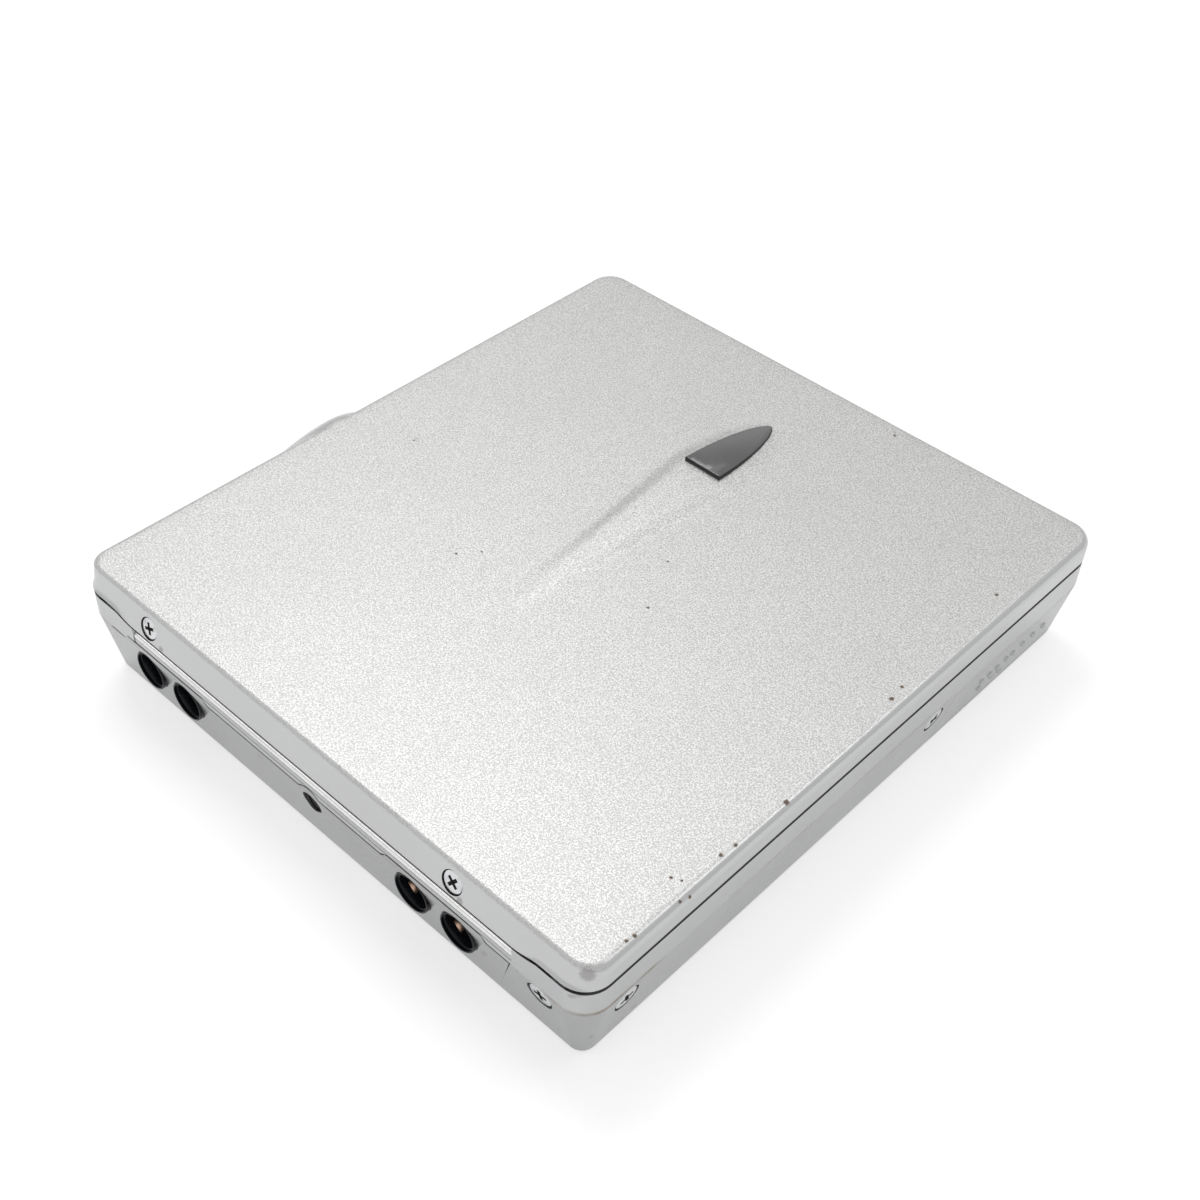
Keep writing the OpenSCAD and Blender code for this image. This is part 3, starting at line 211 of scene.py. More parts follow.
def put_mesh(name, parts, *finishes, sharp=SHARP, paint=None):
    """An object at the origin from points in millimetres, doubles merged.

    The finishes are named, and paint gives each face the number of its own.
    """
    points, faces = parts
    mesh = bpy.data.meshes.new(name)
    mesh.from_pydata((points * MM).tolist(), [], faces)
    if paint is not None:
        mesh.polygons.foreach_set("material_index", np.asarray(paint, np.int32))
    bm = bmesh.new()
    bm.from_mesh(mesh)
    bmesh.ops.remove_doubles(bm, verts=bm.verts, dist=MERGE)
    bmesh.ops.dissolve_degenerate(bm, edges=bm.edges, dist=DEGENERATE)
    bm.to_mesh(mesh)
    bm.free()
    for finish in finishes:
        mesh.materials.append(made(finish))
    smooth(mesh, sharp)
    return put(mesh, name)


def cut(obj, cutter_parts, *inside):
    """Takes a closed cutter away from obj; inside names the cut faces' finish, if not obj's."""
    tool = put_mesh(obj.name + "_tool", cutter_parts, *inside)
    mod = obj.modifiers.new("cut", "BOOLEAN")
    mod.operation, mod.solver, mod.object = "DIFFERENCE", "EXACT", tool
    mod.material_mode = "TRANSFER" if inside else "INDEX"
    dg = bpy.context.evaluated_depsgraph_get()
    mesh = bpy.data.meshes.new_from_object(obj.evaluated_get(dg))
    obj.modifiers.clear()
    old, obj.data = obj.data, mesh
    bpy.data.meshes.remove(old)
    mesh.name = obj.name
    bpy.data.objects.remove(tool)
    smooth(mesh)


def soften(obj, width, angle=38.0):
    """A live bevel in millimetres on the sharp edges, with even normals on the flats."""
    bevel = obj.modifiers.new("soft_edges", "BEVEL")
    bevel.width, bevel.segments, bevel.limit_method = width * MM, 2, "ANGLE"
    bevel.angle_limit = math.radians(angle)
    bevel.use_clamp_overlap = True
    even = obj.modifiers.new("even_normals", "WEIGHTED_NORMAL")
    even.keep_sharp, even.weight = True, 70


def fit(obj, body, slot, *nodes):
    """Puts a piece on its body and hides the CAD nodes that it stands for; its slot, a finish's
    name, is not used.
    """
    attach(obj, body)
    if nodes:
        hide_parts(*nodes)


def node_box(node):
    """Both corners of a CAD node's box, in millimetres."""
    return [np.array(corner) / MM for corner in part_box(node)]


class Outline:
    """A rounded rectangle as base points on its inner rectangle and unit normals.

    A loop drawn in by an inset is base + normal * (radius - inset), anticlockwise from above.
    """

    def __init__(self, xs, ys, radius, arc=14):
        self.radius, self.xs, self.ys = radius, xs, ys
        cx, cy = xs[-1], ys[-1]
        across, along = np.ones(len(ys) - 2), np.ones(len(xs) - 2)
        base, normal = [], []
        for side, (run, out, corner) in enumerate((
            ((across * cx, ys[1:-1]), (1.0, 0.0), (cx, cy)),
            ((xs[-2:0:-1], along * cy), (0.0, 1.0), (-cx, cy)),
            ((-across * cx, ys[-2:0:-1]), (-1.0, 0.0), (-cx, -cy)),
            ((xs[1:-1], -along * cy), (0.0, -1.0), (cx, -cy)),
        )):
            run = np.column_stack(run)
            turn = np.linspace(0, QUARTER, arc + 1) + side * QUARTER
            round_out = np.column_stack([np.cos(turn), np.sin(turn)])
            base += [run, np.broadcast_to(corner, (arc + 1, 2))]
            normal += [np.broadcast_to(out, run.shape), round_out]
        self.base, self.normal = np.vstack(base), np.vstack(normal)

    def ring(self, inset, z):
        """Points of the loop at an inset, each at its height z."""
        reach = self.radius - np.broadcast_to(inset, len(self.base))
        xy = self.base + self.normal * reach[:, None]
        return np.column_stack([xy, np.broadcast_to(z, len(xy))])

    def shoulder(self, inset, z, width, height, count):
        """Rings of a quarter round that leaves a wall at a height and ends flat, drawn in."""
        return [
            self.ring(inset + width * (1 - np.cos(a)), z + height * np.sin(a))
            for a in np.linspace(0, QUARTER, count)
        ]


def block(outline, rings, height):
    """A solid from rings that end at the outline's inner rectangle, with a height field on top.

    The first ring is closed by one flat face.
    """
    count = len(outline.base)
    x, y = np.meshgrid(outline.xs, outline.ys)
    return merged(
        (np.vstack(rings), quads(len(rings), count, wrap=True)),
        (np.stack([x, y, height(x, y)], -1), quads(*x.shape)),
        (rings[0], [list(range(count))[::-1]]),
    )


def revolve(profile, count=48):
    """A profile of (radius, height) points turned about Z, outwards when it runs from below."""
    profile = np.asarray(profile, float)
    a = np.linspace(0, 2 * np.pi, count, endpoint=False)
    r, z = profile[:, 0][:, None], profile[:, 1][:, None]
    points = np.stack([r * np.cos(a), r * np.sin(a), z + 0 * a], -1)
    return points.reshape(-1, 3), quads(len(profile), count, wrap=True)


def slab(lo, hi, round_r=0.12, chamfer=0.6):
    """A box between two corners with rounded upright edges and chamfered ends."""
    lo, hi = np.asarray(lo, float), np.asarray(hi, float)
    half = (hi - lo) / 2
    r = min(round_r, *(half * 0.9))
    ends = np.array([-1, 1])
    o = Outline(ends * (half[0] - r), ends * (half[1] - r), r, 3)
    low = chamfer * r
    points, faces = capped([
        o.ring(low, -half[2]), o.ring(0, -half[2] + low),
        o.ring(0, half[2] - low), o.ring(low, half[2]),
    ])
    return points + (lo + hi) / 2, faces


def rod(radius, depth, past=1.0):
    """A closed cylinder along local Z, from -depth to past the face, used as a cutter."""
    return revolve([(0, -depth), (radius, -depth), (radius, past), (0, past)], 40)


# Turns that point local Z out of a wall; the front is the jack side, the back the opening edge
OUT_FRONT = ((1, 0, 0), (0, 0, -1), (0, 1, 0))
OUT_RIGHT = ((0, 0, 1), (1, 0, 0), (0, 1, 0))
OUT_LEFT = ((0, 0, -1), (-1, 0, 0), (0, 1, 0))
OUT_BACK = ((-1, 0, 0), (0, 0, 1), (0, 1, 0))


def turned(parts, matrix, offset=(0.0, 0.0, 0.0)):
    """Points turned by a 3 x 3 matrix and moved."""
    points, faces = parts
    return points @ np.asarray(matrix, float).T + np.asarray(offset, float), faces


def spun(angle):
    """Turn about local Z by an angle in degrees."""
    c, s = math.cos(math.radians(angle)), math.sin(math.radians(angle))
    return np.array(((c, -s, 0), (s, c, 0), (0, 0, 1)))


def casing_outline(s):
    """The casing's plan, with close points where the skirt curves."""
    cx, cy = s.half_w - s.corner, s.half_d - s.corner
    bend = np.linspace(0, s.s_curve, 15)
    xs = np.concatenate([np.linspace(-cx, cx, 121), s.strip_right + bend, s.strip_left - bend])
    return Outline(np.unique(np.round(xs, 3)), np.linspace(-cy, cy, 135), s.corner)


def side_inset(s, z):
    """How far the lower shell is drawn in at a height."""
    return s.taper * np.clip((s.shell_h - z) / s.shell_h, 0, 1)


def skirt_edge(s, o):
    """Height of the lid's lower edge: level at the sides, an eased drop along the hinge."""
    x = o.base[:, 0]
    past = np.maximum(x - s.strip_right, s.strip_left - x)
    drop = (s.lid_low - s.skirt) * (1 - ease(past / s.s_curve))
    return s.lid_low - np.where(o.normal[:, 1] < -0.999, drop, 0)


# The swelling on the key side: axis, ends, share of its length at the peak, radii and seams
POD = SimpleNamespace(
    x=-35.2, z=11.2, y0=-28.0, length=27.8, peak=0.8, tail=0.2, r=3.3,
    proud=0.005, seam=0.27, least=0.02,
)


def pod_radius(y):
    """Teardrop radius of the swelling on the key side: eased up to its peak, then rounded off."""
    t = (y - POD.y0) / POD.length
    up = ease(t / POD.peak)
    down = np.sqrt(np.clip(1 - ((t - POD.peak) / (1 - POD.peak)) ** 2, 0, 1))
    grown = POD.tail + (POD.r - POD.tail) * np.where(t < POD.peak, up, down)
    return np.where((t < 0) | (t > 1), 0, grown)


def swell(points, inside=-33.0):
    """Moves points of the key side out to the swelling where that stands proud."""
    x, y, z = points.T
    r = pod_radius(y)
    reach = POD.x - np.sqrt(np.clip(r**2 - (z - POD.z) ** 2, 0, None))
    proud = (r > 0) & (np.abs(z - POD.z) < r) & (x < inside)
    return np.column_stack([np.where(proud, np.minimum(x, reach), x), y, z])


def window_half(s, t):
    """Half width of the window at a share t of its length: blunt sides that meet in a tip."""
    return s.window_w / 2 * np.clip(1 - t**2, 0, 1) ** 0.6


def ridge(s, x, y):
    """Height of the lid's ridge, on a plateau with eased flanks.

    The plateau widens to the window's straight end, then follows its sides down to the tip.
    """
    run = np.clip((y - s.ridge_tail) / (s.window_y - s.ridge_tail), 0, 1)
    t = np.clip((y - s.window_y) / s.window_l, 0, 1)
    behind = y > s.window_y
    high = s.ridge_h * np.where(behind, (1 - t) ** 0.8, ease(run**0.9))
    widening = 0.1 + (s.window_w / 2 - 0.25) * run**1.3
    flat = np.where(behind, window_half(s, t) - 0.15, widening)
    flank = np.where(behind, 2.3 - 1.2 * t, 1.3 + run)
    return high * (1 - ease((np.abs(x - s.ridge_x) - flat) / flank))


def lid_surface(s):
    """The lid as rings from the ceiling down its inner walls, round its edge and up the outer ones.

    The top is a height field. The wall above the hinge leans in and has a tighter edge, and both
    blend into the other sides round the corners.
    """
    o = casing_outline(s)
    low = skirt_edge(s, o)
    hinge = np.clip(-o.normal[:, 1], 0, 1) ** 2
    edge = s.edge + (s.hinge_edge - s.edge) * hinge
    wall_top = s.height - edge

    def lean(z):
        """Draw-in of the outer wall at a height."""
        return s.hinge_draft * hinge * np.clip((z - s.skirt) / (wall_top - s.skirt), 0, 1)

    def bowl(inset, z, radius):
        """Rings of a quarter round that ends upright at an inset; a negative radius flips it."""
        return [
            o.ring(inset + abs(radius) * (1 - np.sin(a)), z + radius * (1 - np.cos(a)))
            for a in np.linspace(0, QUARTER, 5)
        ]

    fillet, lip_in, lip_out, first_flat = 0.4, 0.1, 0.12, 1.3
    rings = bowl(s.lid_wall + 0.5 * s.hinge_draft * hinge, s.lid_ceiling, -fillet)
    rings += [o.ring(s.lid_wall, low + lip_in), o.ring(s.lid_wall - lip_in, low)]
    first_out = len(rings)
    rings += bowl(0, low, lip_out)
    for t in np.linspace(0, 1, 9)[1:-1]:
        z = low + lip_out + (wall_top - low - lip_out) * t
        rings.append(o.ring(lean(z), z))
    rings += o.shoulder(lean(wall_top), wall_top, edge, edge, 13)
    rings[first_out:] = [swell(r) for r in rings[first_out:]]
    rings += [o.ring((first_flat + s.corner) / 2, s.height), o.ring(s.corner, s.height)]
    return block(o, rings, lambda x, y: s.height + ridge(s, x, y))


# Screws as places along their wall, height, and turn of the cross in degrees
LID_SCREWS = SimpleNamespace(
    x=(-24.8, 19.55), z=12.42, r=1.2, turn=(20.0, 52.0), sink=0.06,
    seat_play=0.09, seat_floor=0.05, pilot_play=0.1, pilot_depth=2.0,
)
SIDE_SCREWS = SimpleNamespace(y=(-34.3, 11.85), z=6.2, turn=(18.0, 70.0))
CORNER_SCREW = SimpleNamespace(x=30.45, z=6.7, turn=8.0, sink=0.05)
HEAD_H = 0.55
SHANK_R = 0.7
SHANK_L = 2.2
# The cross recess: share of its full size at each depth, with its arm and half width per radius
CROSS = ((0.45, -0.36), (1.0, 0.02), (1.0, 0.5))
CROSS_ARM = 0.6
CROSS_HALF = 0.16


def hinge_wall(s, x, z, sink=0.0):
    """Turn and place of a fitting that sits square on the lid's leaning wall."""
    run = s.height - s.hinge_edge - s.skirt
    lean = math.atan2(s.hinge_draft, run)
    c, n = math.cos(lean), math.sin(lean)
    turn = np.array(((1, 0, 0), (0, n, -c), (0, c, n)))
    place = np.array((x, -s.half_d + s.hinge_draft * (z - s.skirt) / run, z))
    return turn, place - turn[:, 2] * sink


class PLAYER_OT_lid(bpy.types.Operator):
    """Lid casing with grained top, smooth sides, ridge and screw seats"""

    bl_idname = "player.lid"
    bl_label = "Lid casing"

    def execute(self, context):
        s = sizes()
        obj = put_mesh("lid_casing", lid_surface(s), "grained_silver_paint")
        screws = LID_SCREWS
        places = [hinge_wall(s, x, screws.z) for x in screws.x]
        seat = rod(screws.r + screws.seat_play, HEAD_H + screws.seat_floor)
        pilot = rod(SHANK_R + screws.pilot_play, screws.pilot_depth)
        # The cut faces of the seats and pilot holes get painted shade
        for hole in (seat, pilot):
            cut(obj, merged(*(turned(hole, *place) for place in places)), "recess_grime")
        fit(obj, "lid", "lid_paint", "lid_shell")
        return {"FINISHED"}


class PLAYER_OT_window(bpy.types.Operator):
    """Smoked insert at the high end of the ridge: a sloping flat top with dark edges"""

    bl_idname = "player.window"
    bl_label = "Lid window"

    def execute(self, context):
        s = sizes()
        foot_depth, tip_h = 0.5, 0.2
        t = np.sin(np.linspace(0, QUARTER, 40))
        half, y = window_half(s, t), s.window_y + t * s.window_l
        right = np.column_stack([s.ridge_x + half, y])
        left = np.column_stack([s.ridge_x - half, y])[::-1]
        across = np.linspace(-half[0], half[0], 14)[1:-1]
        front = np.column_stack([s.ridge_x + across, np.full(len(across), s.window_y)])
        plan = np.vstack([right, left[1:], front])
        step = np.roll(plan, -1, 0) - np.roll(plan, 1, 0)
        normal = np.column_stack([step[:, 1], -step[:, 0]])
        normal /= np.linalg.norm(normal, axis=1)[:, None]

        def loop(inset, down):
            xy = plan - normal * inset
            fall = (s.window_h - tip_h) * (xy[:, 1] - s.window_y) / s.window_l
            return np.column_stack([xy, s.height + s.window_h - fall - down])

        foot = np.column_stack([plan, np.full(len(plan), s.height - foot_depth)])
        parts = capped([foot, loop(0, 0.12), loop(0.03, 0.04), loop(0.1, 0.0)])
        paint = np.ones(len(parts[1]), int)
        paint[-1] = 0
        finishes = ("smoked_window", "smoked_window_edge")
        obj = put_mesh("lid_smoked_window", parts, *finishes, paint=paint)
        fit(obj, "lid", "window", "lid_window")
        return {"FINISHED"}


def cross_head(r):
    """A cross-head screw along Z with its face at 0 and its head of radius r.

    Gives its points in millimetres, its faces and the finish number of each face.
    """
    end, rim, round_r = -HEAD_H - SHANK_L, 0.14, 0.05
    body = put_mesh("screw_blank", revolve([
        (0, end), (SHANK_R * 0.6, end), (SHANK_R, end + 0.3), (SHANK_R, -HEAD_H),
        (r - round_r, -HEAD_H), (r, -HEAD_H + round_r), (r, -rim), (r - round_r, -rim * 0.35),
        (r - rim, -0.01), (r * 0.5, 0.0), (0, 0.0),
    ], 56), "plated_screw_steel")
    slot = np.array(CORNERS) * (r * CROSS_ARM, r * CROSS_HALF)
    solid = capped([np.column_stack([slot * share, np.full(4, z)]) for share, z in CROSS])
    # The faces of the cross recess get painted shade
    for angle in (0, 90):
        cut(body, turned(solid, spun(angle)), "recess_grime")
    mesh = body.data
    points, paint = np.empty(len(mesh.vertices) * 3), np.empty(len(mesh.polygons), np.int32)
    mesh.vertices.foreach_get("co", points)
    mesh.polygons.foreach_get("material_index", paint)
    faces = [list(p.vertices) for p in mesh.polygons]
    bpy.data.objects.remove(body)
    return (points.reshape(-1, 3) / MM, faces), paint


class PLAYER_OT_screws(bpy.types.Operator):
    """Cross-head screws of the lid and of the casing's sides"""

    bl_idname = "player.screws"
    bl_label = "Screws"

    def execute(self, context):
        s = sizes()
        finishes = ("plated_screw_steel", "recess_grime")
        screw, paint = cross_head(LID_SCREWS.r)
        placed = []
        for x, angle in zip(LID_SCREWS.x, LID_SCREWS.turn):
            turn, at = hinge_wall(s, x, LID_SCREWS.z, LID_SCREWS.sink)
            placed.append(turned(screw, turn @ spun(angle), at))
        paint = np.tile(paint, len(placed))
        obj = put_mesh("lid_cross_screws", merged(*placed), *finishes, paint=paint)
        fit(obj, "lid", "screw_steel", "lid_screws")

        screw, paint = cross_head(s.screw_head)
        inner, outer, floor = s.screw_head - 0.02, s.screw_seat, -0.5
        # A dark ring in each seat, nearly flush with the wall: painted shade of the gap round the
        # head
        ring = revolve([
            (inner, floor), (outer, floor), (outer, -0.03), (inner, -0.06), (inner, floor)
        ], 56)
        placed, rings = [], []
        for turn, at, angle in self.casing_seats(s):
            placed.append(turned(screw, turn @ spun(angle), at))
            rings.append(turned(ring, turn, at))
        dark = np.ones(len(ring[1]), int)
        paint = np.concatenate([np.tile(part, len(placed)) for part in (paint, dark)])
        obj = put_mesh("casing_cross_screws", merged(*placed, *rings), *finishes, paint=paint)
        fit(obj, "base", "screw_steel", "case_screws")
        return {"FINISHED"}

    def casing_seats(self, s):
        """Turn, place and angle of the screws that sit square on the tapered walls."""
        lean = math.atan2(s.taper, s.shell_h)
        c, n = math.cos(lean), math.sin(lean)
        right = np.array(((0, n, c), (1, 0, 0), (0, c, -n)))
        front = np.array(((1, 0, 0), (0, -n, -c), (0, c, -n)))
        z = SIDE_SCREWS.z
        wall = s.half_w - side_inset(s, z)
        seats = [(right, (wall, y, z), a) for y, a in zip(SIDE_SCREWS.y, SIDE_SCREWS.turn)]
        x, z = CORNER_SCREW.x, CORNER_SCREW.z
        face = -s.half_d + side_inset(s, z) + CORNER_SCREW.sink
        return seats + [(front, (x, face, z), CORNER_SCREW.turn)]


# The hinge axis, and the radius that the lid's skirt sweeps about it
HINGE = SimpleNamespace(y=-38.5, z=12.0, clear=2.14)


class PLAYER_OT_strip(bpy.types.Operator):
    """Bright strip under the lid's skirt: a rolled lip, hollowed for the skirt's swing"""

    bl_idname = "player.strip"
    bl_label = "Bright strip"

    def execute(self, context):
        lo, hi = node_box("hinge_strip")
        nose, flat, end_round, end_shrink = 0.42, 1.25, 0.06, 0.05
        clear = HINGE.clear
        crest = lo[1] + nose
        crest_z = HINGE.z - math.sqrt(clear**2 - (HINGE.y - crest) ** 2)
        a = np.linspace(np.pi, QUARTER, 12)
        roll = np.column_stack([crest + nose * np.cos(a), crest_z + flat * nose * (np.sin(a) - 1)])
        start = math.atan2(crest_z - HINGE.z, crest - HINGE.y)
        a = np.linspace(start, -QUARTER, 10)[1:]
        hollow = np.column_stack([HINGE.y + clear * np.cos(a), HINGE.z + clear * np.sin(a)])
        # The groove under the lip is set back from the foot's face
        low, (groove_y, foot_z, groove_z) = roll[0, 1], (0.07, 0.06, 0.03)
        foot = [(hi[1], lo[2]), (lo[1], lo[2]), (lo[1], low - foot_z)]
        front = foot + [(lo[1] + groove_y, low - groove_z)]
        section = np.vstack([front, roll, hollow, [(hi[1], hollow[-1, 1])]])[::-1]
        mid = section.mean(0)
        xs = np.linspace(lo[0] + end_round, hi[0] - end_round, 120)
        xs = np.concatenate([[lo[0]], xs, [hi[0]]])
        share = np.ones(len(xs))
        share[[0, -1]] = 1 - end_shrink
        parts = capped([
            np.column_stack([np.full(len(section), x), mid + (section - mid) * k])
            for x, k in zip(xs, share)
        ])
        # Bright lip; painted shade in the hollow, on the crest next to it and in the groove; frame
        # paint on the foot
        shade = np.zeros(len(section), int)
        shade[1:len(hollow) + 3] = 1
        shade[-5:] = (1, 1, 2, 2, 2)
        paint = np.concatenate([np.tile(shade, len(xs) - 1), [2, 2]])
        finishes = ("bright_brushed_strip", "recess_grime", "smooth_silver_frame")
        obj = put_mesh("bright_hinge_strip", parts, *finishes, paint=paint)
        fit(obj, "base", "bright_strip", "hinge_strip")
        return {"FINISHED"}


# Jacks and their sideways places
JACKS = {
    "jack_left_outer": -25.675, "jack_left_inner": -19.525,
    "jack_right_inner": 14.125, "jack_right_outer": 20.275,
}
PANEL = SimpleNamespace(
    x0=-31.6, x1=27.1, slant=2.6, slant_from=0.9, z0=1.0, top=8.35, step=0.55,
    ramp=0.9, wall=1.0, margin=0.8, gap=0.08, proud=0.02, soft=0.07,
)
INSERT = SimpleNamespace(z=6.7, r=1.25, bore=0.8, lip=0.95, length=4.5, pitch=0.4, root=0.3)
HOLE_PLAY = 0.05


def panel_top(s, x):
    """Upper edge of the jack panel: raised over each pair of jacks, with a bump over the insert."""
    xs = sorted(JACKS.values())
    grow = s.jack_r + PANEL.margin
    raised = np.zeros_like(x)
    for a, b in ((xs[0] - grow, xs[1] + grow), (xs[2] - grow, xs[3] + grow)):
        up, down = ease((x - a) / PANEL.ramp + 1), ease((b - x) / PANEL.ramp + 1)
        raised = np.maximum(raised, np.minimum(up, down))
    bump_r = INSERT.r + INSERT.lip
    bump = INSERT.z + np.sqrt(np.clip(bump_r**2 - x**2, 0, None))
    return np.maximum(PANEL.top + PANEL.step * raised, bump)


class PLAYER_OT_panel(bpy.types.Operator):
    """Panel around the jacks: a curved plate between its stepped top and its foot, with holes"""

    bl_idname = "player.panel"
    bl_label = "Jack panel"

    def execute(self, context):
        s = sizes()
        x0, x1, z0, gap = PANEL.x0, PANEL.x1, PANEL.z0, PANEL.gap
        mid, half = (x0 + x1) / 2, (x1 - x0) / 2
        xs = np.linspace(x0 + gap, x1 - gap, 300)
        z = z0 + (panel_top(s, xs) - gap - z0) * np.linspace(0, 1, 25)[:, None]
        # The ends slant in towards the foot; only the outer parts of each row are drawn in
        begin = PANEL.slant_from
        end = np.clip((np.abs(xs - mid) / half - begin) / (1 - begin), 0, 1)
        down = (PANEL.top - z) / (PANEL.top - z0)
        x = xs - np.sign(xs - mid) * end * PANEL.slant * down
        front = np.stack([x, -s.half_d + side_inset(s, z) - PANEL.proud, z], -1)
        obj = put_mesh("jack_plate", plate(front, front + (0, PANEL.wall, 0)), "smooth_silver_base")
        holes = [(x, s.jack_z, s.jack_r) for x in JACKS.values()]
        holes.append((0, INSERT.z, INSERT.r))
        cut(obj, merged(*(
            turned(rod(r + HOLE_PLAY, 4), OUT_FRONT, (x, -s.half_d, z)) for x, z, r in holes
        )))
        soften(obj, PANEL.soft)
        fit(obj, "base", "base_paint", "jack_panel")
        return {"FINISHED"}


# Copper leaves: angles on the wall of the hole, depths, and how much deeper the left ones sit
LEAF = SimpleNamespace(arc=(206, 250), depth=(1.1, 2.4), bow=0.22, thick=0.1, left=2.4, play=0.02)


class PLAYER_OT_jacks(bpy.types.Operator):
    """Jack sockets with stepped collars, their copper leaves and the threaded insert"""

    bl_idname = "player.jacks"
    bl_label = "Jacks"

    def execute(self, context):
        s = sizes()
        front, end, behind, bore, r = 0.02, 11.25, 3.15, s.jack_bore, s.jack_r
        # From the axis at the back, out round the stepped mouth and in to the floor of the hole
        profile = [
            (0, -end - 1), (r, -end - 1), (r, -front - 0.1), (r - 0.03, -front - 0.03),
            (r - 0.08, -front), (r - 0.16, -front), (r - 0.2, -front - 0.05),
            (r - 0.21, -front - 0.3), (r - 0.33, -front - 0.34), (r - 0.36, -front - 0.4),
            (bore, -front - 1.6), (bore, -end), (0, -end),
        ]
        for node, x in JACKS.items():
            lo, hi = node_box(node)
            wall = bore + HOLE_PLAY
            barrel = turned(revolve(profile, 64), OUT_FRONT, (x, -s.half_d, s.jack_z))
            housing = [
                slab((lo[0], lo[1] + behind, lo[2]), (x - wall, hi[1], hi[2])),
                slab((x + wall, lo[1] + behind, lo[2]), hi),
                slab(lo + (0.2, behind + 0.05, 0.02), (hi[0] - 0.2, hi[1] - 0.02, s.jack_z - wall)),
            ]
            obj = put_mesh(node + "_socket", merged(barrel, *housing), "gloss_black_plastic")
            fit(obj, "base", "black_plastic", node)
        leaves = [self.leaf(s, x, front + (LEAF.left if x < 0 else 0.0)) for x in JACKS.values()]
        obj = put_mesh("copper_leaves", merged(*leaves), "copper_leaf")
        fit(obj, "base", "copper", "jack_contacts")
        obj = put_mesh("threaded_bush", self.bush(s), "blackened_thread_steel", sharp=50.0)
        fit(obj, "base", "brass", "threaded_insert")
        return {"FINISHED"}

    def leaf(self, s, x, front):
        """A sprung strip on the wall of the plug hole, over angle and depth, bowed inwards."""
        u, v = np.linspace(0, 1, 18), np.linspace(0, 1, 14)[:, None]
        a = np.radians(np.linspace(*LEAF.arc, 18))
        y = -s.half_d + front + np.linspace(*LEAF.depth, 14)[:, None] + 0 * a
        r = s.jack_bore - LEAF.play - LEAF.bow * np.sin(np.pi * v) * np.sin(np.pi * u)
        return plate(*(
            np.stack([x + radius * np.cos(a), y, s.jack_z + radius * np.sin(a)], -1)
            for radius in (r, r + LEAF.thick)
        ))

    def bush(self, s):
        """A sleeve whose hole has a helical thread: the radius follows depth and angle together."""
        face = float(side_inset(s, INSERT.z)) + 0.1
        crest, end, r = INSERT.bore, INSERT.length, INSERT.r
        root, mouth, floor = crest + INSERT.root, 0.1, end - 0.6
        rows, count = 150, 48
        a = np.linspace(0, 2 * np.pi, count + 1)
        d = np.linspace(mouth, floor, rows)[:, None]
        wave = np.abs(((d / INSERT.pitch + a / (2 * np.pi)) % 1) - 0.5) * 2
        full = ease((d - mouth) / 0.35) * (1 - ease((d - floor + 0.4) / 0.4))
        radius = root - (root - crest) * full * wave
        thread = np.stack([radius * np.cos(a), radius * np.sin(a), -d + 0 * a], -1)
        sleeve = [
            (0.0, -end), (r, -end), (r, -0.05), (r - 0.04, 0.0), (root + 0.06, 0.0), (root, -mouth)
        ]
        parts = merged(
            revolve(sleeve, count), (thread, quads(rows, count + 1)),
            revolve([(root, -floor), (0.0, -floor - 0.05)], count),
        )
        return turned(parts, OUT_FRONT, (0, -s.half_d + face, INSERT.z))


class PLAYER_OT_swelling(bpy.types.Operator):
    """Lower half of the swelling on the key side"""

    bl_idname = "player.swelling"
    bl_label = "Side swelling"

    def execute(self, context):
        s = sizes()
        wall, top = -s.half_w - POD.proud, s.lid_low - POD.seam
        out = POD.x - wall
        y = POD.y0 + POD.length * np.linspace(0, 1, 400)
        proud = y[pod_radius(y) > out + POD.least]
        y = np.linspace(proud[0], proud[-1], 90)[:, None]
        r = pod_radius(y)
        low = -np.arccos(np.clip(out / r, -1, 1))
        high = np.minimum(np.arcsin(np.clip((top - POD.z) / r, -1, 1)), -low)
        a = low + (high - low) * np.linspace(0, 1, 25)
        skin = np.stack([POD.x - r * np.cos(a), y + 0 * a, POD.z + r * np.sin(a)], -1)
        heel, crown = skin[:, :1].copy(), skin[:, -1:].copy()
        heel[..., 0] = crown[..., 0] = wall
        parts = capped(np.concatenate([heel, skin, crown], 1))
        obj = put_mesh("side_swelling", parts, "smooth_silver_swelling")
        fit(obj, "base", "frame_paint", "side_pod")
        return {"FINISHED"}


DOOR = SimpleNamespace(x=34.4, y=15.4, slant=1.2, z0=0.8, z1=7.45, soft=0.06)
# Raised dots of the door, as (along, height) on its face
DOTS = (
    (22.1, 2.75), (21.9, 4.16), (24.2, 3.15), (23.4, 4.16), (25.0, 4.05), (26.1, 2.6), (26.6, 4.2),
    (27.9, 4.15), (29.8, 4.3), (31.8, 4.3), (33.8, 4.3),
)
DOT = SimpleNamespace(r=0.42, flat=0.7, sink=0.05)


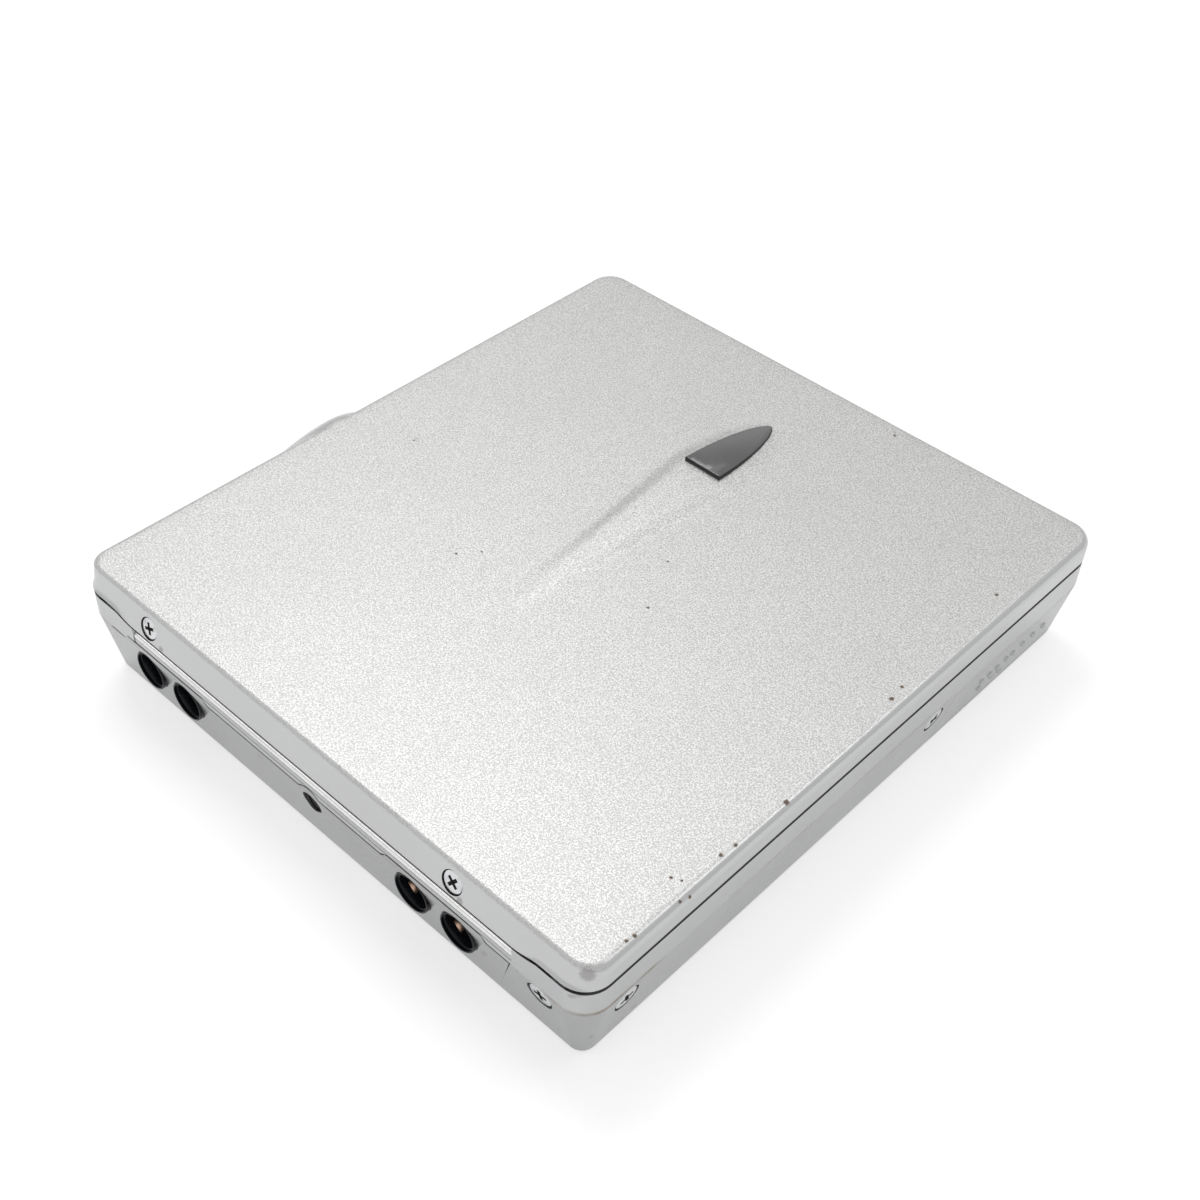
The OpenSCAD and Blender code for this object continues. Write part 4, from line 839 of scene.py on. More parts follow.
class PLAYER_OT_door(bpy.types.Operator):
    """Battery door: the lower shell's wall and corner as a curved face, with raised dots"""

    bl_idname = "player.door"
    bl_label = "Battery door"

    def execute(self, context):
        s = sizes()
        tall = DOOR.z1 - DOOR.z0
        z = DOOR.z0 + tall * np.linspace(0, 1, 22)[:, None]
        r = s.corner - side_inset(s, z)
        cx, cy = s.half_w - s.corner, s.half_d - s.corner
        first = DOOR.y - DOOR.slant * (DOOR.z1 - z) / tall
        y = first + (cy - first) * np.linspace(0, 1, 44)
        side = np.stack([cx + r + 0 * y, y, z + 0 * y], -1)
        a = np.arccos((DOOR.x - cx) / r) * np.linspace(0, 1, 17)[1:]
        arc = np.stack([cx + r * np.cos(a), cy + r * np.sin(a), z + 0 * a], -1)
        face = np.concatenate([side, arc], 1)
        back = face[:, ::-1].copy()
        back[..., 0] = DOOR.x
        parts = capped(np.concatenate([face, back], 1))
        obj = put_mesh("battery_door_face", parts, "smooth_silver_base")
        lat = np.linspace(-QUARTER, QUARTER, 12)
        ball = DOT.r * np.column_stack([np.cos(lat), DOT.flat * np.sin(lat)])
        dome = revolve(ball, 24)
        wall = s.half_w - DOT.sink
        domes = [turned(dome, OUT_RIGHT, (wall - side_inset(s, z), y, z)) for y, z in DOTS]
        dots = put_mesh("battery_door_dots", merged(*domes), "smooth_silver_base")
        soften(obj, DOOR.soft)
        fit(obj, "door", "base_paint", "battery_door")
        fit(dots, "door", "base_paint")
        return {"FINISHED"}


# Keys and their places along the key side
KEYS = {
    "volume_down_key": -32.5, "volume_up_key": -26.5, "play_key": -14.0,
    "stop_key": -4.5, "skip_back_key": 4.0, "skip_forward_key": 10.5,
}
KEY = SimpleNamespace(
    z=5.0, length=4.6, width=2.6, flange=0.4, flange_t=0.35,
    round=0.22, round_h=0.2, crown=0.08, flat=0.02,
)


class PLAYER_OT_keys(bpy.types.Operator):
    """Six press keys: round-ended caps with a soft crown and a flange inside the wall"""

    bl_idname = "player.keys"
    bl_label = "Keys"

    def execute(self, context):
        r, flat, flange = KEY.width / 2, KEY.flat, KEY.flange
        reach = (KEY.length - KEY.width) / 2
        o = Outline(np.array([-reach, 0, reach]), np.array([-flat, flat]), r - flat, 12)
        for node, y in KEYS.items():
            lo, hi = (corner[0] for corner in node_box(node))
            tall = hi - lo
            shoulder = tall - KEY.crown
            wall = shoulder - KEY.round_h
            step = KEY.flange_t
            rings = [o.ring(-flange, 0.0), o.ring(-flange, step), o.ring(0, step)]
            rings += o.shoulder(0, wall, KEY.round, KEY.round_h, 7)
            for k in (0.33, 0.66, 1.0):
                inset = KEY.round + (r - flat - KEY.round) * k
                rings.append(o.ring(inset, shoulder + KEY.crown * ease(k)))
            cap = turned(block(o, rings, lambda gx, gy: tall + 0 * gx), OUT_LEFT, (hi, y, KEY.z))
            obj = put_mesh(node + "_cap", cap, "silver_key_plastic")
            fit(obj, node[:-4], "key_plastic", node)
        return {"FINISHED"}


# Knobs as their body, sideways place and length of cap
KNOBS = {"open_knob": ("latch", -18.0, 8.0), "hold_knob": ("hold", 19.5, 5.0)}
KNOB = SimpleNamespace(
    z=9.5, tall=0.8, wide=1.8, corner=0.45, round=0.3, round_h=0.2, foot=0.06,
    rib=0.16, pitch=1.1, fade=(0.5, 0.25), off=0.1, stem=(1.6, 0.3), stem_back=0.35, plate=0.7,
    plate_t=0.5,
)


class PLAYER_OT_knobs(bpy.types.Operator):
    """Slide knobs of the opening edge: ribbed caps on flat stems"""

    bl_idname = "player.knobs"
    bl_label = "Slide knobs"

    def execute(self, context):
        s = sizes()
        z, r, foot = KNOB.z, KNOB.corner, KNOB.foot
        wall = KNOB.tall - KNOB.round
        top = wall + KNOB.round_h
        edge_y = KNOB.wide / 2 - r
        (stem_x, stem_z), (fade_x, fade_y) = KNOB.stem, KNOB.fade
        for node, (body, x, cap_l) in KNOBS.items():
            lo, hi = node_box(node)
            edge_x = cap_l / 2 - r
            o = Outline(np.linspace(-edge_x, edge_x, 60), np.linspace(-edge_y, edge_y, 8), r, 8)
            rings = [o.ring(foot, 0.0), o.ring(0, foot)]
            rings += o.shoulder(0, wall, KNOB.round, KNOB.round_h, 6)
            rings.append(o.ring(r, top))

            def crest(gx, gy):
                ends, sides = (edge_x - np.abs(gx)) / fade_x, (edge_y - np.abs(gy)) / fade_y
                wave = 0.5 + 0.5 * np.cos(2 * np.pi * gx / KNOB.pitch)
                return top + KNOB.rib * (ease(ends) * ease(sides)) * wave

            parts = [
                turned(block(o, rings, crest), OUT_BACK, (x, s.half_d + KNOB.off, z)),
                slab(
                    (x - stem_x, lo[1] + KNOB.stem_back, z - stem_z),
                    (x + stem_x, s.half_d + 2 * KNOB.off, z + stem_z),
                ),
            ]
            if node == "hold_knob":
                low, high = z - KNOB.plate, z + KNOB.plate
                parts.append(slab((lo[0], lo[1], low), (hi[0], lo[1] + KNOB.plate_t, high)))
            obj = put_mesh(node + "_cap", merged(*parts), "silver_key_plastic")
            fit(obj, body, "frame_paint", node)
        return {"FINISHED"}


class Value:
    """An output of a shader node. Sums, differences and products with it become Math nodes."""

    def __init__(self, graph, node, output=0):
        self.graph, self.socket = graph, node.outputs[output]

    def __add__(self, other):
        return self.graph.math("ADD", self, other)

    def __radd__(self, other):
        return self.graph.math("ADD", other, self)

    def __sub__(self, other):
        return self.graph.math("SUBTRACT", self, other)

    def __rsub__(self, other):
        return self.graph.math("SUBTRACT", other, self)

    def __mul__(self, other):
        return self.graph.math("MULTIPLY", self, other)


class Graph:
    """Adds nodes to a node tree. Inputs go by name or number and are Values or plain values."""

    def __init__(self, tree):
        self.tree, self.coords = tree, None
        tree.nodes.clear()

    def add(self, kind, inputs=None, **settings):
        """A node of a kind, with its settings and inputs."""
        node = self.tree.nodes.new(kind)
        for key, value in settings.items():
            setattr(node, key, value)
        for key, value in (inputs or {}).items():
            if isinstance(value, Value):
                self.tree.links.new(value.socket, node.inputs[key])
            else:
                node.inputs[key].default_value = value
        return node

    def out(self, kind, output, inputs=None, **settings):
        """One output of a new node."""
        return Value(self, self.add(kind, inputs, **settings), output)

    @property
    def at(self):
        """Object coordinates of the shaded point."""
        if self.coords is None:
            self.coords = self.out("ShaderNodeTexCoord", "Object")
        return self.coords

    def axis(self, name):
        """One of the object coordinates."""
        return self.out("ShaderNodeSeparateXYZ", name, {0: self.at})

    def drawn(self, scale, turn=0.0):
        """Object coordinates turned about Z and scaled along each axis."""
        inputs = {"Vector": self.at, "Rotation": (0, 0, turn), "Scale": scale}
        return self.out("ShaderNodeMapping", 0, inputs)

    def away(self, centre=(0.0, 0.0, 0.0)):
        """Distance of the shaded point from a centre."""
        inputs = {0: self.at, 1: centre}
        return self.out("ShaderNodeVectorMath", "Value", inputs, operation="DISTANCE")

    def math(self, operation, a, b=0.0):
        """A Math node."""
        return self.out("ShaderNodeMath", 0, {0: a, 1: b}, operation=operation)

    def greater(self, a, b):
        """The greater of two values."""
        return self.math("MAXIMUM", a, b)

    def mix(self, factor, a, b):
        """A colour between a and b."""
        return self.out("ShaderNodeMix", 2, {0: factor, 6: a, 7: b}, data_type="RGBA")

    def span(self, value, lo, hi, to_lo=0.0, to_hi=1.0):
        """A smooth step from lo..hi to to_lo..to_hi."""
        inputs = {0: value, 1: lo, 2: hi, 3: to_lo, 4: to_hi}
        return self.out("ShaderNodeMapRange", 0, inputs, interpolation_type="SMOOTHSTEP")

    def noise(self, scale, detail=2.0, rough=0.5, vector=None):
        """A Noise texture's value, on object coordinates unless given others."""
        inputs = {"Vector": vector or self.at, "Scale": scale, "Detail": detail, "Roughness": rough}
        return self.out("ShaderNodeTexNoise", 0, inputs)

    def bump(self, strength, depth, height):
        """A bumped normal, with its depth in metres."""
        inputs = {"Strength": strength, "Distance": depth, "Height": height}
        return self.out("ShaderNodeBump", 0, inputs)

    def effect(self, name, **inputs):
        """The outputs of one of the EFFECTS by name."""
        node = self.add("ShaderNodeGroup", inputs, node_tree=effect_tree(name))
        return {label: Value(self, node, label) for label in EFFECTS[name][2]}

    def rays(self):
        """Masks of the camera's own rays, and of mirrored and transmitted ones."""
        path = self.add("ShaderNodeLightPath")
        camera, glossy, passed = (
            Value(self, path, f"Is {kind} Ray") for kind in ("Camera", "Glossy", "Transmission")
        )
        return camera, self.greater(glossy, passed)


def grain_effect(g, scale):
    """Grained paint: fine dark pits from a warped noise, all over and of even strength."""
    bent = g.out("ShaderNodeTexNoise", "Color", {"Vector": g.at, "Scale": scale, "Detail": 0.0})
    warp = g.out("ShaderNodeVectorMath", 0, {0: bent, "Scale": GRAIN_WARP}, operation="SCALE")
    vector = g.out("ShaderNodeVectorMath", 0, {0: g.at, 1: warp}, operation="ADD")
    return g.span(g.noise(scale, 1.0, vector=vector), 0.36, 0.62), g.noise(scale * 1.7, 1.0)


def peel_effect(g, fine):
    """Smooth paint: slow waves of lacquer with fine ones over them, and faint cloudiness."""
    return g.noise(900.0, 3.0, 0.6) + g.noise(9000.0, 2.0, 0.6) * fine, g.noise(70.0, 4.0, 0.6)


def chip_effect(g, centre, radius, ragged):
    """One ragged mark: a ball about a centre whose edge a fine noise breaks up."""
    share = g.math("DIVIDE", g.away(centre), radius)
    return (g.span(share + g.noise(5200.0, 3.0, 0.7) * ragged, 0.75, 1.15, 1.0, 0.0),)


GRAIN_WARP = 0.00015
# Node groups as the function that builds them, their inputs with defaults, and their outputs
EFFECTS = {
    "paint_grain": (grain_effect, {"Scale": 5000.0}, ("Pits", "Fleck")),
    "paint_peel": (peel_effect, {"Fine": 0.3}, ("Wave", "Cloud")),
    "paint_chip": (
        chip_effect, {"Centre": (0.0, 0.0, 0.0), "Radius": 0.0005, "Ragged": 0.8}, ("Mask",)
    ),
}


def effect_tree(name):
    """A shader node group, made at its first use from its row in EFFECTS."""
    tree = bpy.data.node_groups.get(name)
    if tree:
        return tree
    build, inputs, outputs = EFFECTS[name]
    tree = bpy.data.node_groups.new(name, "ShaderNodeTree")
    for label, value in inputs.items():
        kind = "NodeSocketVector" if isinstance(value, tuple) else "NodeSocketFloat"
        tree.interface.new_socket(label, in_out="INPUT", socket_type=kind).default_value = value
    for label in outputs:
        tree.interface.new_socket(label, in_out="OUTPUT", socket_type="NodeSocketFloat")
    g = Graph(tree)
    source = g.add("NodeGroupInput")
    values = build(g, *(Value(g, source, label) for label in inputs))
    g.add("NodeGroupOutput", dict(zip(outputs, values)))
    return tree


def surface(base, rough, normal=None, metal=0.0, spec=0.5, coat=0.0):
    """Inputs of the Principled shader, at its own defaults where not given."""
    inputs = {
        "Base Color": base, "Roughness": rough, "Metallic": metal, "Specular IOR Level": spec,
        "Coat Weight": coat,
    }
    if normal:
        inputs["Normal"] = normal
    return inputs


# Brown specks and chips on the lid, and grey rubs, as (x, y, z, radius) in millimetres
LID_CHIPS = (
    (35.5, -13.3, 14.4, 0.5), (35.4, -20.3, 14.5, 0.35), (35.2, -22.1, 14.5, 0.38),
    (33.7, -27.0, 14.5, 0.3), (34.6, -26.6, 14.5, 0.22), (36.0, -27.1, 14.0, 0.3),
    (35.8, -28.2, 14.2, 0.3), (35.5, -33.6, 14.4, 0.35), (35.4, -34.5, 14.5, 0.28),
    (33.7, 23.6, 14.5, 0.35), (34.5, 5.9, 14.5, 0.35), (34.7, 3.9, 14.5, 0.45),
    (-8.2, -9.5, 14.5, 0.22), (-9.8, -11.6, 14.5, 0.28), (6.5, 3.2, 14.5, 0.25),
    (10.5, 37.8, 14.4, 0.4), (-27.0, -2.0, 14.5, 0.22), (-0.4, 6.8, 15.2, 0.3),
    (-0.2, -4.5, 14.9, 0.3), (-0.2, -6.8, 14.8, 0.25), (9.7, -3.4, 14.5, 0.3),
)
LID_RUBS = ((35.15, -38.95, 13.75, 1.3), (20.8, -40.0, 11.3, 0.7), (-22.6, -40.0, 11.3, 0.6))
RUBBED = (0.25, 0.22, 0.23, 1.0)
# How far below the lid's top the grain begins and is full, and the worn border above the hinge
GRAIN_EDGE = (0.085, 0.04)
WORN_EDGE = (0.5, 0.3)
WORN_Y = (-0.0385, -0.0375)
# The corner by the jacks, where dirt has gathered most, in metres
DIRTY_CORNER = (0.0355, -0.036, 0.0083)
CREASE_DIRT = (0.32, 0.24, 0.14, 1.0)
# Painted shade: near-black colour for the gap under the lid's edge
GAP_SHADE_PAINT = (0.02, 0.019, 0.018, 1.0)
# Depth of the finest texture of paint, metal and plastic, in metres
SKIN = 0.00001


def marks(g, spots):
    """The strongest of several chip masks."""
    total = None
    for x, y, z, r in spots:
        chip = g.effect("paint_chip", Centre=(x * MM, y * MM, z * MM), Radius=r * MM)
        total = g.greater(total, chip["Mask"]) if total else chip["Mask"]
    return total


def grained_paint(g):
    """Silver metal-flake paint, grained on the top, smooth on the sides, with chips and wear."""
    s = sizes()
    grain = g.effect("paint_grain", Scale=1.0 / (s.grain * MM))
    peel = g.effect("paint_peel")
    jag = g.noise(3500.0)
    edge = g.axis("Z") + (jag - 0.5) * 0.00012
    top, border = (
        g.span(edge, (s.height - start) * MM, (s.height - full) * MM)
        for start, full in (GRAIN_EDGE, WORN_EDGE)
    )
    bright, dark = tint("lid_paint", 1.13), tint("lid_paint", 0.72)
    base = g.mix(top, tint("lid_side"), g.mix(grain["Pits"], bright, dark))
    base = g.mix(g.span(peel["Cloud"], 0.4, 0.75, 0.0, 0.10), base, dark)
    worn = (border - top) * g.span(g.axis("Y"), *WORN_Y, 1.0, 0.0)
    base = g.mix(worn * g.span(jag, 0.42, 0.62) * 0.45, base, dark)
    chips, rubs = marks(g, LID_CHIPS), marks(g, LID_RUBS)
    base = g.mix(rubs * 0.55, base, RUBBED)
    base = g.mix(chips * 0.9, base, tint("dirt"))
    rough = g.span(top, 0.0, 1.0, 0.26, 0.36) + grain["Fleck"] * (top * 0.16)
    rough = rough + g.greater(chips, worn) * 0.3
    normal = g.bump(0.4, s.grain_depth * MM, peel["Wave"] * 0.06 - grain["Pits"] * top)
    return surface(base, rough, normal, 0.82 - chips * 0.8)


def smooth_paint(g, key, dirt_z=None, gap=None):
    """Smooth silver paint with slow waves, clouds and specks.

    A broken brown line of dirt lies at the height dirt_z, and painted shade darkens the paint
    between the heights of a gap, where the lid's edge shades it.
    """
    peel = g.effect("paint_peel")
    base = g.mix(g.span(peel["Cloud"], 0.35, 0.75, 0.0, 0.16), tint(key), tint(key, 0.7))
    base = g.mix(g.span(g.noise(420.0, 1.0), 0.74, 0.8, 0.0, 0.3), base, tint("dirt"))
    rough, metal = 0.2 + peel["Cloud"] * 0.12, 0.8
    if dirt_z is not None:
        away = g.math("ABSOLUTE", g.axis("Z") - dirt_z * MM)
        patch = g.span(g.noise(90.0, 3.0, 0.7), 0.45, 0.62)
        patch = patch * g.span(g.away(DIRTY_CORNER), 0.005, 0.018, 1.0, 0.2)
        line = g.span(away, 0.0, 0.00035, 1.0, 0.0) * patch
        base = g.mix(line * 0.8, base, CREASE_DIRT)
        rough, metal = rough + line * 0.3, metal - line * 0.7
    if gap:
        # Painted shade: the paint between the gap's heights is darkened to stand in for the shade
        # under the lid's edge
        low, high = (g.span(g.axis("Z"), z * MM, (z + 0.03) * MM) for z in gap)
        deep = low - high
        base = g.mix(deep * 0.95, base, GAP_SHADE_PAINT)
        rough, metal = rough + deep * 0.5, metal * (1.0 - deep)
    return surface(base, rough, g.bump(0.25, SKIN, peel["Wave"]), metal)


def smoked_top(g):
    """Smoked plastic with hairline scratches."""
    hair = g.noise(9000.0, vector=g.drawn((1.0, 0.06, 1.0), 0.5))
    cloud = g.span(g.noise(260.0), 0.3, 0.7, 0.0, 0.35)
    base = g.mix(cloud, tint("smoke"), (0.17, 0.168, 0.17, 1.0))
    rough = g.span(hair, 0.3, 0.8, 0.16, 0.3)
    return surface(base, rough, g.bump(0.08, SKIN / 2, hair), spec=0.6, coat=0.3)


def smoked_edge(g):
    """Cut edge of the smoked plastic, nearly black."""
    return surface((0.012, 0.014, 0.013, 1.0), g.span(g.noise(3000.0), 0.3, 0.7, 0.15, 0.4))


def recess_shade(g):
    """Painted shade for recesses and gaps: a dark, lumpy colour that stands in for the shade in
    them.
    """
    lumps = g.noise(4000.0, 3.0, 0.7)
    dark, pale = (0.015, 0.014, 0.013, 1.0), (0.05, 0.045, 0.04, 1.0)
    base = g.mix(g.span(lumps, 0.4, 0.7), dark, pale)
    return surface(base, g.span(lumps, 0.3, 0.7, 0.6, 0.9), g.bump(0.5, 2 * SKIN, lumps))


def plated(g):
    """Plated screw steel with stains."""
    stain = g.noise(1500.0, 4.0, 0.65)
    dull = (0.20, 0.19, 0.185, 1.0)
    base = g.mix(g.span(stain, 0.48, 0.8, 0.0, 0.6), tint("screw_steel"), dull)
    rough = g.span(stain, 0.3, 0.8, 0.22, 0.45)
    return surface(base, rough, g.bump(0.3, 2 * SKIN, stain), 1.0)


def brushed(g, rgb, rough, along):
    """Brushed metal: noise drawn out along one axis, and clouds."""
    drawn = g.drawn(tuple(0.02 if axis == along else 1.0 for axis in "XYZ"))
    hair = g.noise(7000.0, 3.0, 0.6, drawn)
    dark = tint(rgb, 0.72)
    base = g.mix(g.span(hair, 0.3, 0.75, 0.0, 0.5), tint(rgb), dark)
    base = g.mix(g.span(g.noise(130.0, 3.0, 0.6), 0.45, 0.75, 0.0, 0.25), base, dark)
    rough = g.span(hair, 0.25, 0.8, rough, rough + 0.15)
    return surface(base, rough, g.bump(0.35, SKIN, hair), 1.0)


def plastic(g, rgb, rough, coarse, spec=0.5, metal=0.0):
    """Moulded plastic or rubber: spark-eroded texture of a given coarseness and faint dust."""
    skin = g.noise(coarse, 3.0, 0.6)
    dust = g.span(g.noise(300.0, 4.0, 0.7), 0.5, 0.8, 0.0, 0.35)
    base = g.mix(dust, tint(rgb), tint(rgb, 1.6, 0.02))
    rough = g.span(skin, 0.3, 0.75, rough, rough + 0.15)
    return surface(base, rough, g.bump(0.3, SKIN, skin), metal, spec)


def board(g):
    """Circuit board: solder lacquer over faint copper tracks and rows of pads."""
    cells = g.out("ShaderNodeTexBrick", "Color", {
        "Vector": g.at, "Scale": 420.0, "Color1": (0.02, 0.13, 0.065, 1.0),
        "Color2": (0.03, 0.17, 0.08, 1.0), "Mortar": (0.06, 0.26, 0.13, 1.0), "Mortar Size": 0.03,
    })
    weave = g.noise(2500.0)
    spots = {"Vector": g.at, "Scale": 520.0, "Randomness": 0.15}
    dots = g.span(g.out("ShaderNodeTexVoronoi", "Distance", spots), 0.12, 0.17, 1.0, 0.0)
    pads = dots * g.span(g.noise(95.0, 1.0), 0.5, 0.56)
    base = g.mix(pads, cells, (0.75, 0.72, 0.62, 1.0))
    normal = g.bump(0.3, 2 * SKIN, pads + weave * 0.2)
    return surface(base, g.span(weave, 0.3, 0.7, 0.3, 0.42), normal, pads * 0.9)


def lens(g):
    """Coated lens: a blue-violet sheen over dark glass."""
    film = g.noise(500.0, 1.0)
    base = g.mix(film, (0.05, 0.06, 0.16, 1.0), (0.10, 0.05, 0.14, 1.0))
    return surface(base, g.span(film, 0.3, 0.7, 0.03, 0.06), spec=0.7, coat=1.0)


# Materials as the function that builds them and its settings
FINISHES = {
    "grained_silver_paint": (grained_paint,),
    # The frame's last setting gives the heights of the painted shade in the gap under the lid
    "smooth_silver_frame": (smooth_paint, "frame_paint", 8.32, (11.2, 11.46)),
    "smooth_silver_swelling": (smooth_paint, "frame_paint"),
    # The lower shell's colour is partly its own tone and partly painted shade
    "smooth_silver_base": (smooth_paint, "base_paint", 8.2),
    "smoked_window": (smoked_top,),
    "smoked_window_edge": (smoked_edge,),
    # Painted shade for the recesses, seats and gaps
    "recess_grime": (recess_shade,),
    "plated_screw_steel": (plated,),
    "bright_brushed_strip": (brushed, (0.95, 0.95, 0.945), 0.16, "Z"),
    "rolled_sheet_steel": (brushed, "steel", 0.32, "Y"),
    "blackened_thread_steel": (brushed, (0.06, 0.062, 0.06), 0.3, "X"),
    "ground_rod_steel": (brushed, (0.72, 0.72, 0.72), 0.18, "X"),
    "cast_sled_metal": (brushed, (0.36, 0.36, 0.37), 0.42, "Z"),
    "copper_leaf": (brushed, "copper", 0.28, "Y"),
    "sprung_contact_metal": (brushed, (0.80, 0.70, 0.46), 0.25, "Z"),
    "plated_magnet": (brushed, (0.42, 0.42, 0.44), 0.22, "Z"),
    "gloss_black_plastic": (plastic, "jack_black", 0.16, 4000.0, 0.3),
    "satin_black_plastic": (plastic, (0.03, 0.03, 0.032), 0.4, 6000.0),
    "silver_key_plastic": (plastic, (0.62, 0.625, 0.64), 0.32, 5000.0, 0.5, 0.7),
    "cream_switch_plastic": (plastic, (0.72, 0.71, 0.66), 0.4, 5000.0),
    "damper_rubber": (plastic, (0.025, 0.025, 0.026), 0.65, 3500.0, 0.3),
    "chip_resin": (plastic, (0.022, 0.022, 0.024), 0.5, 8000.0, 0.4),
    "capacitor_can": (plastic, (0.52, 0.47, 0.33), 0.3, 3000.0, 0.5, 0.6),
    "circuit_board": (board,),
    "coated_lens": (lens,),
}


def made(name):
    """A material, made at its first use from its row in FINISHES."""
    material = bpy.data.materials.get(name)
    if material:
        return material
    material = bpy.data.materials.new(name)
    material.use_nodes = True
    g = Graph(material.node_tree)
    build, *settings = FINISHES[name]
    shader = g.out("ShaderNodeBsdfPrincipled", 0, build(g, *settings))
    g.add("ShaderNodeOutputMaterial", {"Surface": shader})
    return material


# CAD nodes that stay, by their finish, with the width of their soft edges in millimetres
KEPT = {
    "smooth_silver_frame": {"mid_frame": 0.10},
    "smooth_silver_base": {"lower_shell": 0.10},
    "rolled_sheet_steel": {
        "lid_bracket": 0.06, "lid_hook": 0.06, "disc_carrier": 0.06, "mech_chassis": 0.06,
        "spindle_motor": 0.12, "sled_motor": 0.12, "latch_bar": 0.05,
    },
    "sprung_contact_metal": {
        "carrier_springs": 0.03, "battery_contact": 0.03, "door_contact": 0.03,
    },
    "ground_rod_steel": {"hinge_pins": 0.05, "guide_rods": 0.05, "lead_screw": 0.05},
    "circuit_board": {"main_board": 0.05, "key_board": 0.05},
    "chip_resin": {"board_chips": 0.1},
    "capacitor_can": {"board_capacitors": 0.2},
    "cream_switch_plastic": {"key_switches": 0.1, "sled_nut": 0.08},
    "damper_rubber": {"chassis_dampers": 0.12},
    "plated_screw_steel": {"chassis_screws": 0.05},
    "satin_black_plastic": {"turntable": 0.08, "lens_mount": 0.08, "battery_tray": 0.08},
    "plated_magnet": {"hub_magnet": 0.05},
    "cast_sled_metal": {"pickup_sled": 0.12},
    "coated_lens": {"objective_lens": 0.0},
}
# Angles in degrees: up to the first, faces are one flat; from the second, edges are softened
FLAT_ANGLE = 1.5
SOFT_ANGLE = 30.0


class PLAYER_OT_kept(bpy.types.Operator):
    """Finishes and soft edges for the CAD nodes that stay"""

    bl_idname = "player.kept"
    bl_label = "Frame and mechanism"

    def execute(self, context):
        for finish, nodes in KEPT.items():
            for node, width in nodes.items():
                obj = NODES[node]
                obj.data.materials.clear()
                obj.data.materials.append(made(finish))
                weld = obj.modifiers.new("weld", "WELD")
                weld.merge_threshold = WELD
                flat = obj.modifiers.new("flat_faces", "DECIMATE")
                flat.decimate_type, flat.angle_limit = "DISSOLVE", math.radians(FLAT_ANGLE)
                obj.data.shade_smooth()
                if width:
                    soften(obj, width, SOFT_ANGLE)
        return {"FINISHED"}


# The photograph's camera: focal length in pixels of its frame, angles in degrees, offset in mm
PHOTO_PIXELS = 1200
PHOTO_FOCAL = 1657.0
PHOTO_ANGLES = (41.51, 43.47, 2.65)
PHOTO_OFFSET = (-0.350, -4.878, -183.86)
SENSOR_MM = 36.0
CLIP = (0.01, 20.0)
# The floor's half size and height in metres, what lifts it to white near and far, and in mirrors
FLOOR_HALF = 6.0
FLOOR_Z = -0.00005
FLOOR_LIFT = (0.5, 0.7)
FLOOR_LIFT_FROM = (0.2, 0.6)
FLOOR_MIRRORED = 0.6
# The world's strength as light on the object, and as seen in mirrors
WORLD_SOFT = 0.42
WORLD_SEEN = 0.64
WHITE = (1.0, 1.0, 1.0, 1.0)
# Lamps as (name, place, size, watts), in metres, and the point they all look at
LAMPS = (
    ("key_softbox", (-0.335, 0.165, 0.65), (0.3, 0.3), 1.05),
    ("back_strip", (0.05, 0.35, 0.66), (0.7, 0.2), 0.36),
    ("left_strip", (-0.36, -0.52, 0.42), (0.5, 0.12), 0.2),
    ("rim_strip", (0.22, 0.48, 0.60), (0.5, 0.05), 0.22),
    ("front_card", (0.42, -0.46, 0.27), (0.14, 0.14), 0.08),
)
LAMP_AIM = (0.0, 0.0, 0.01)


def pose(obj, turn, place):
    """Sets an object's place and its turn, whose columns are its axes."""
    matrix = np.eye(4)
    matrix[:3, :3], matrix[:3, 3] = turn, place
    obj.matrix_world = Matrix(matrix.tolist())


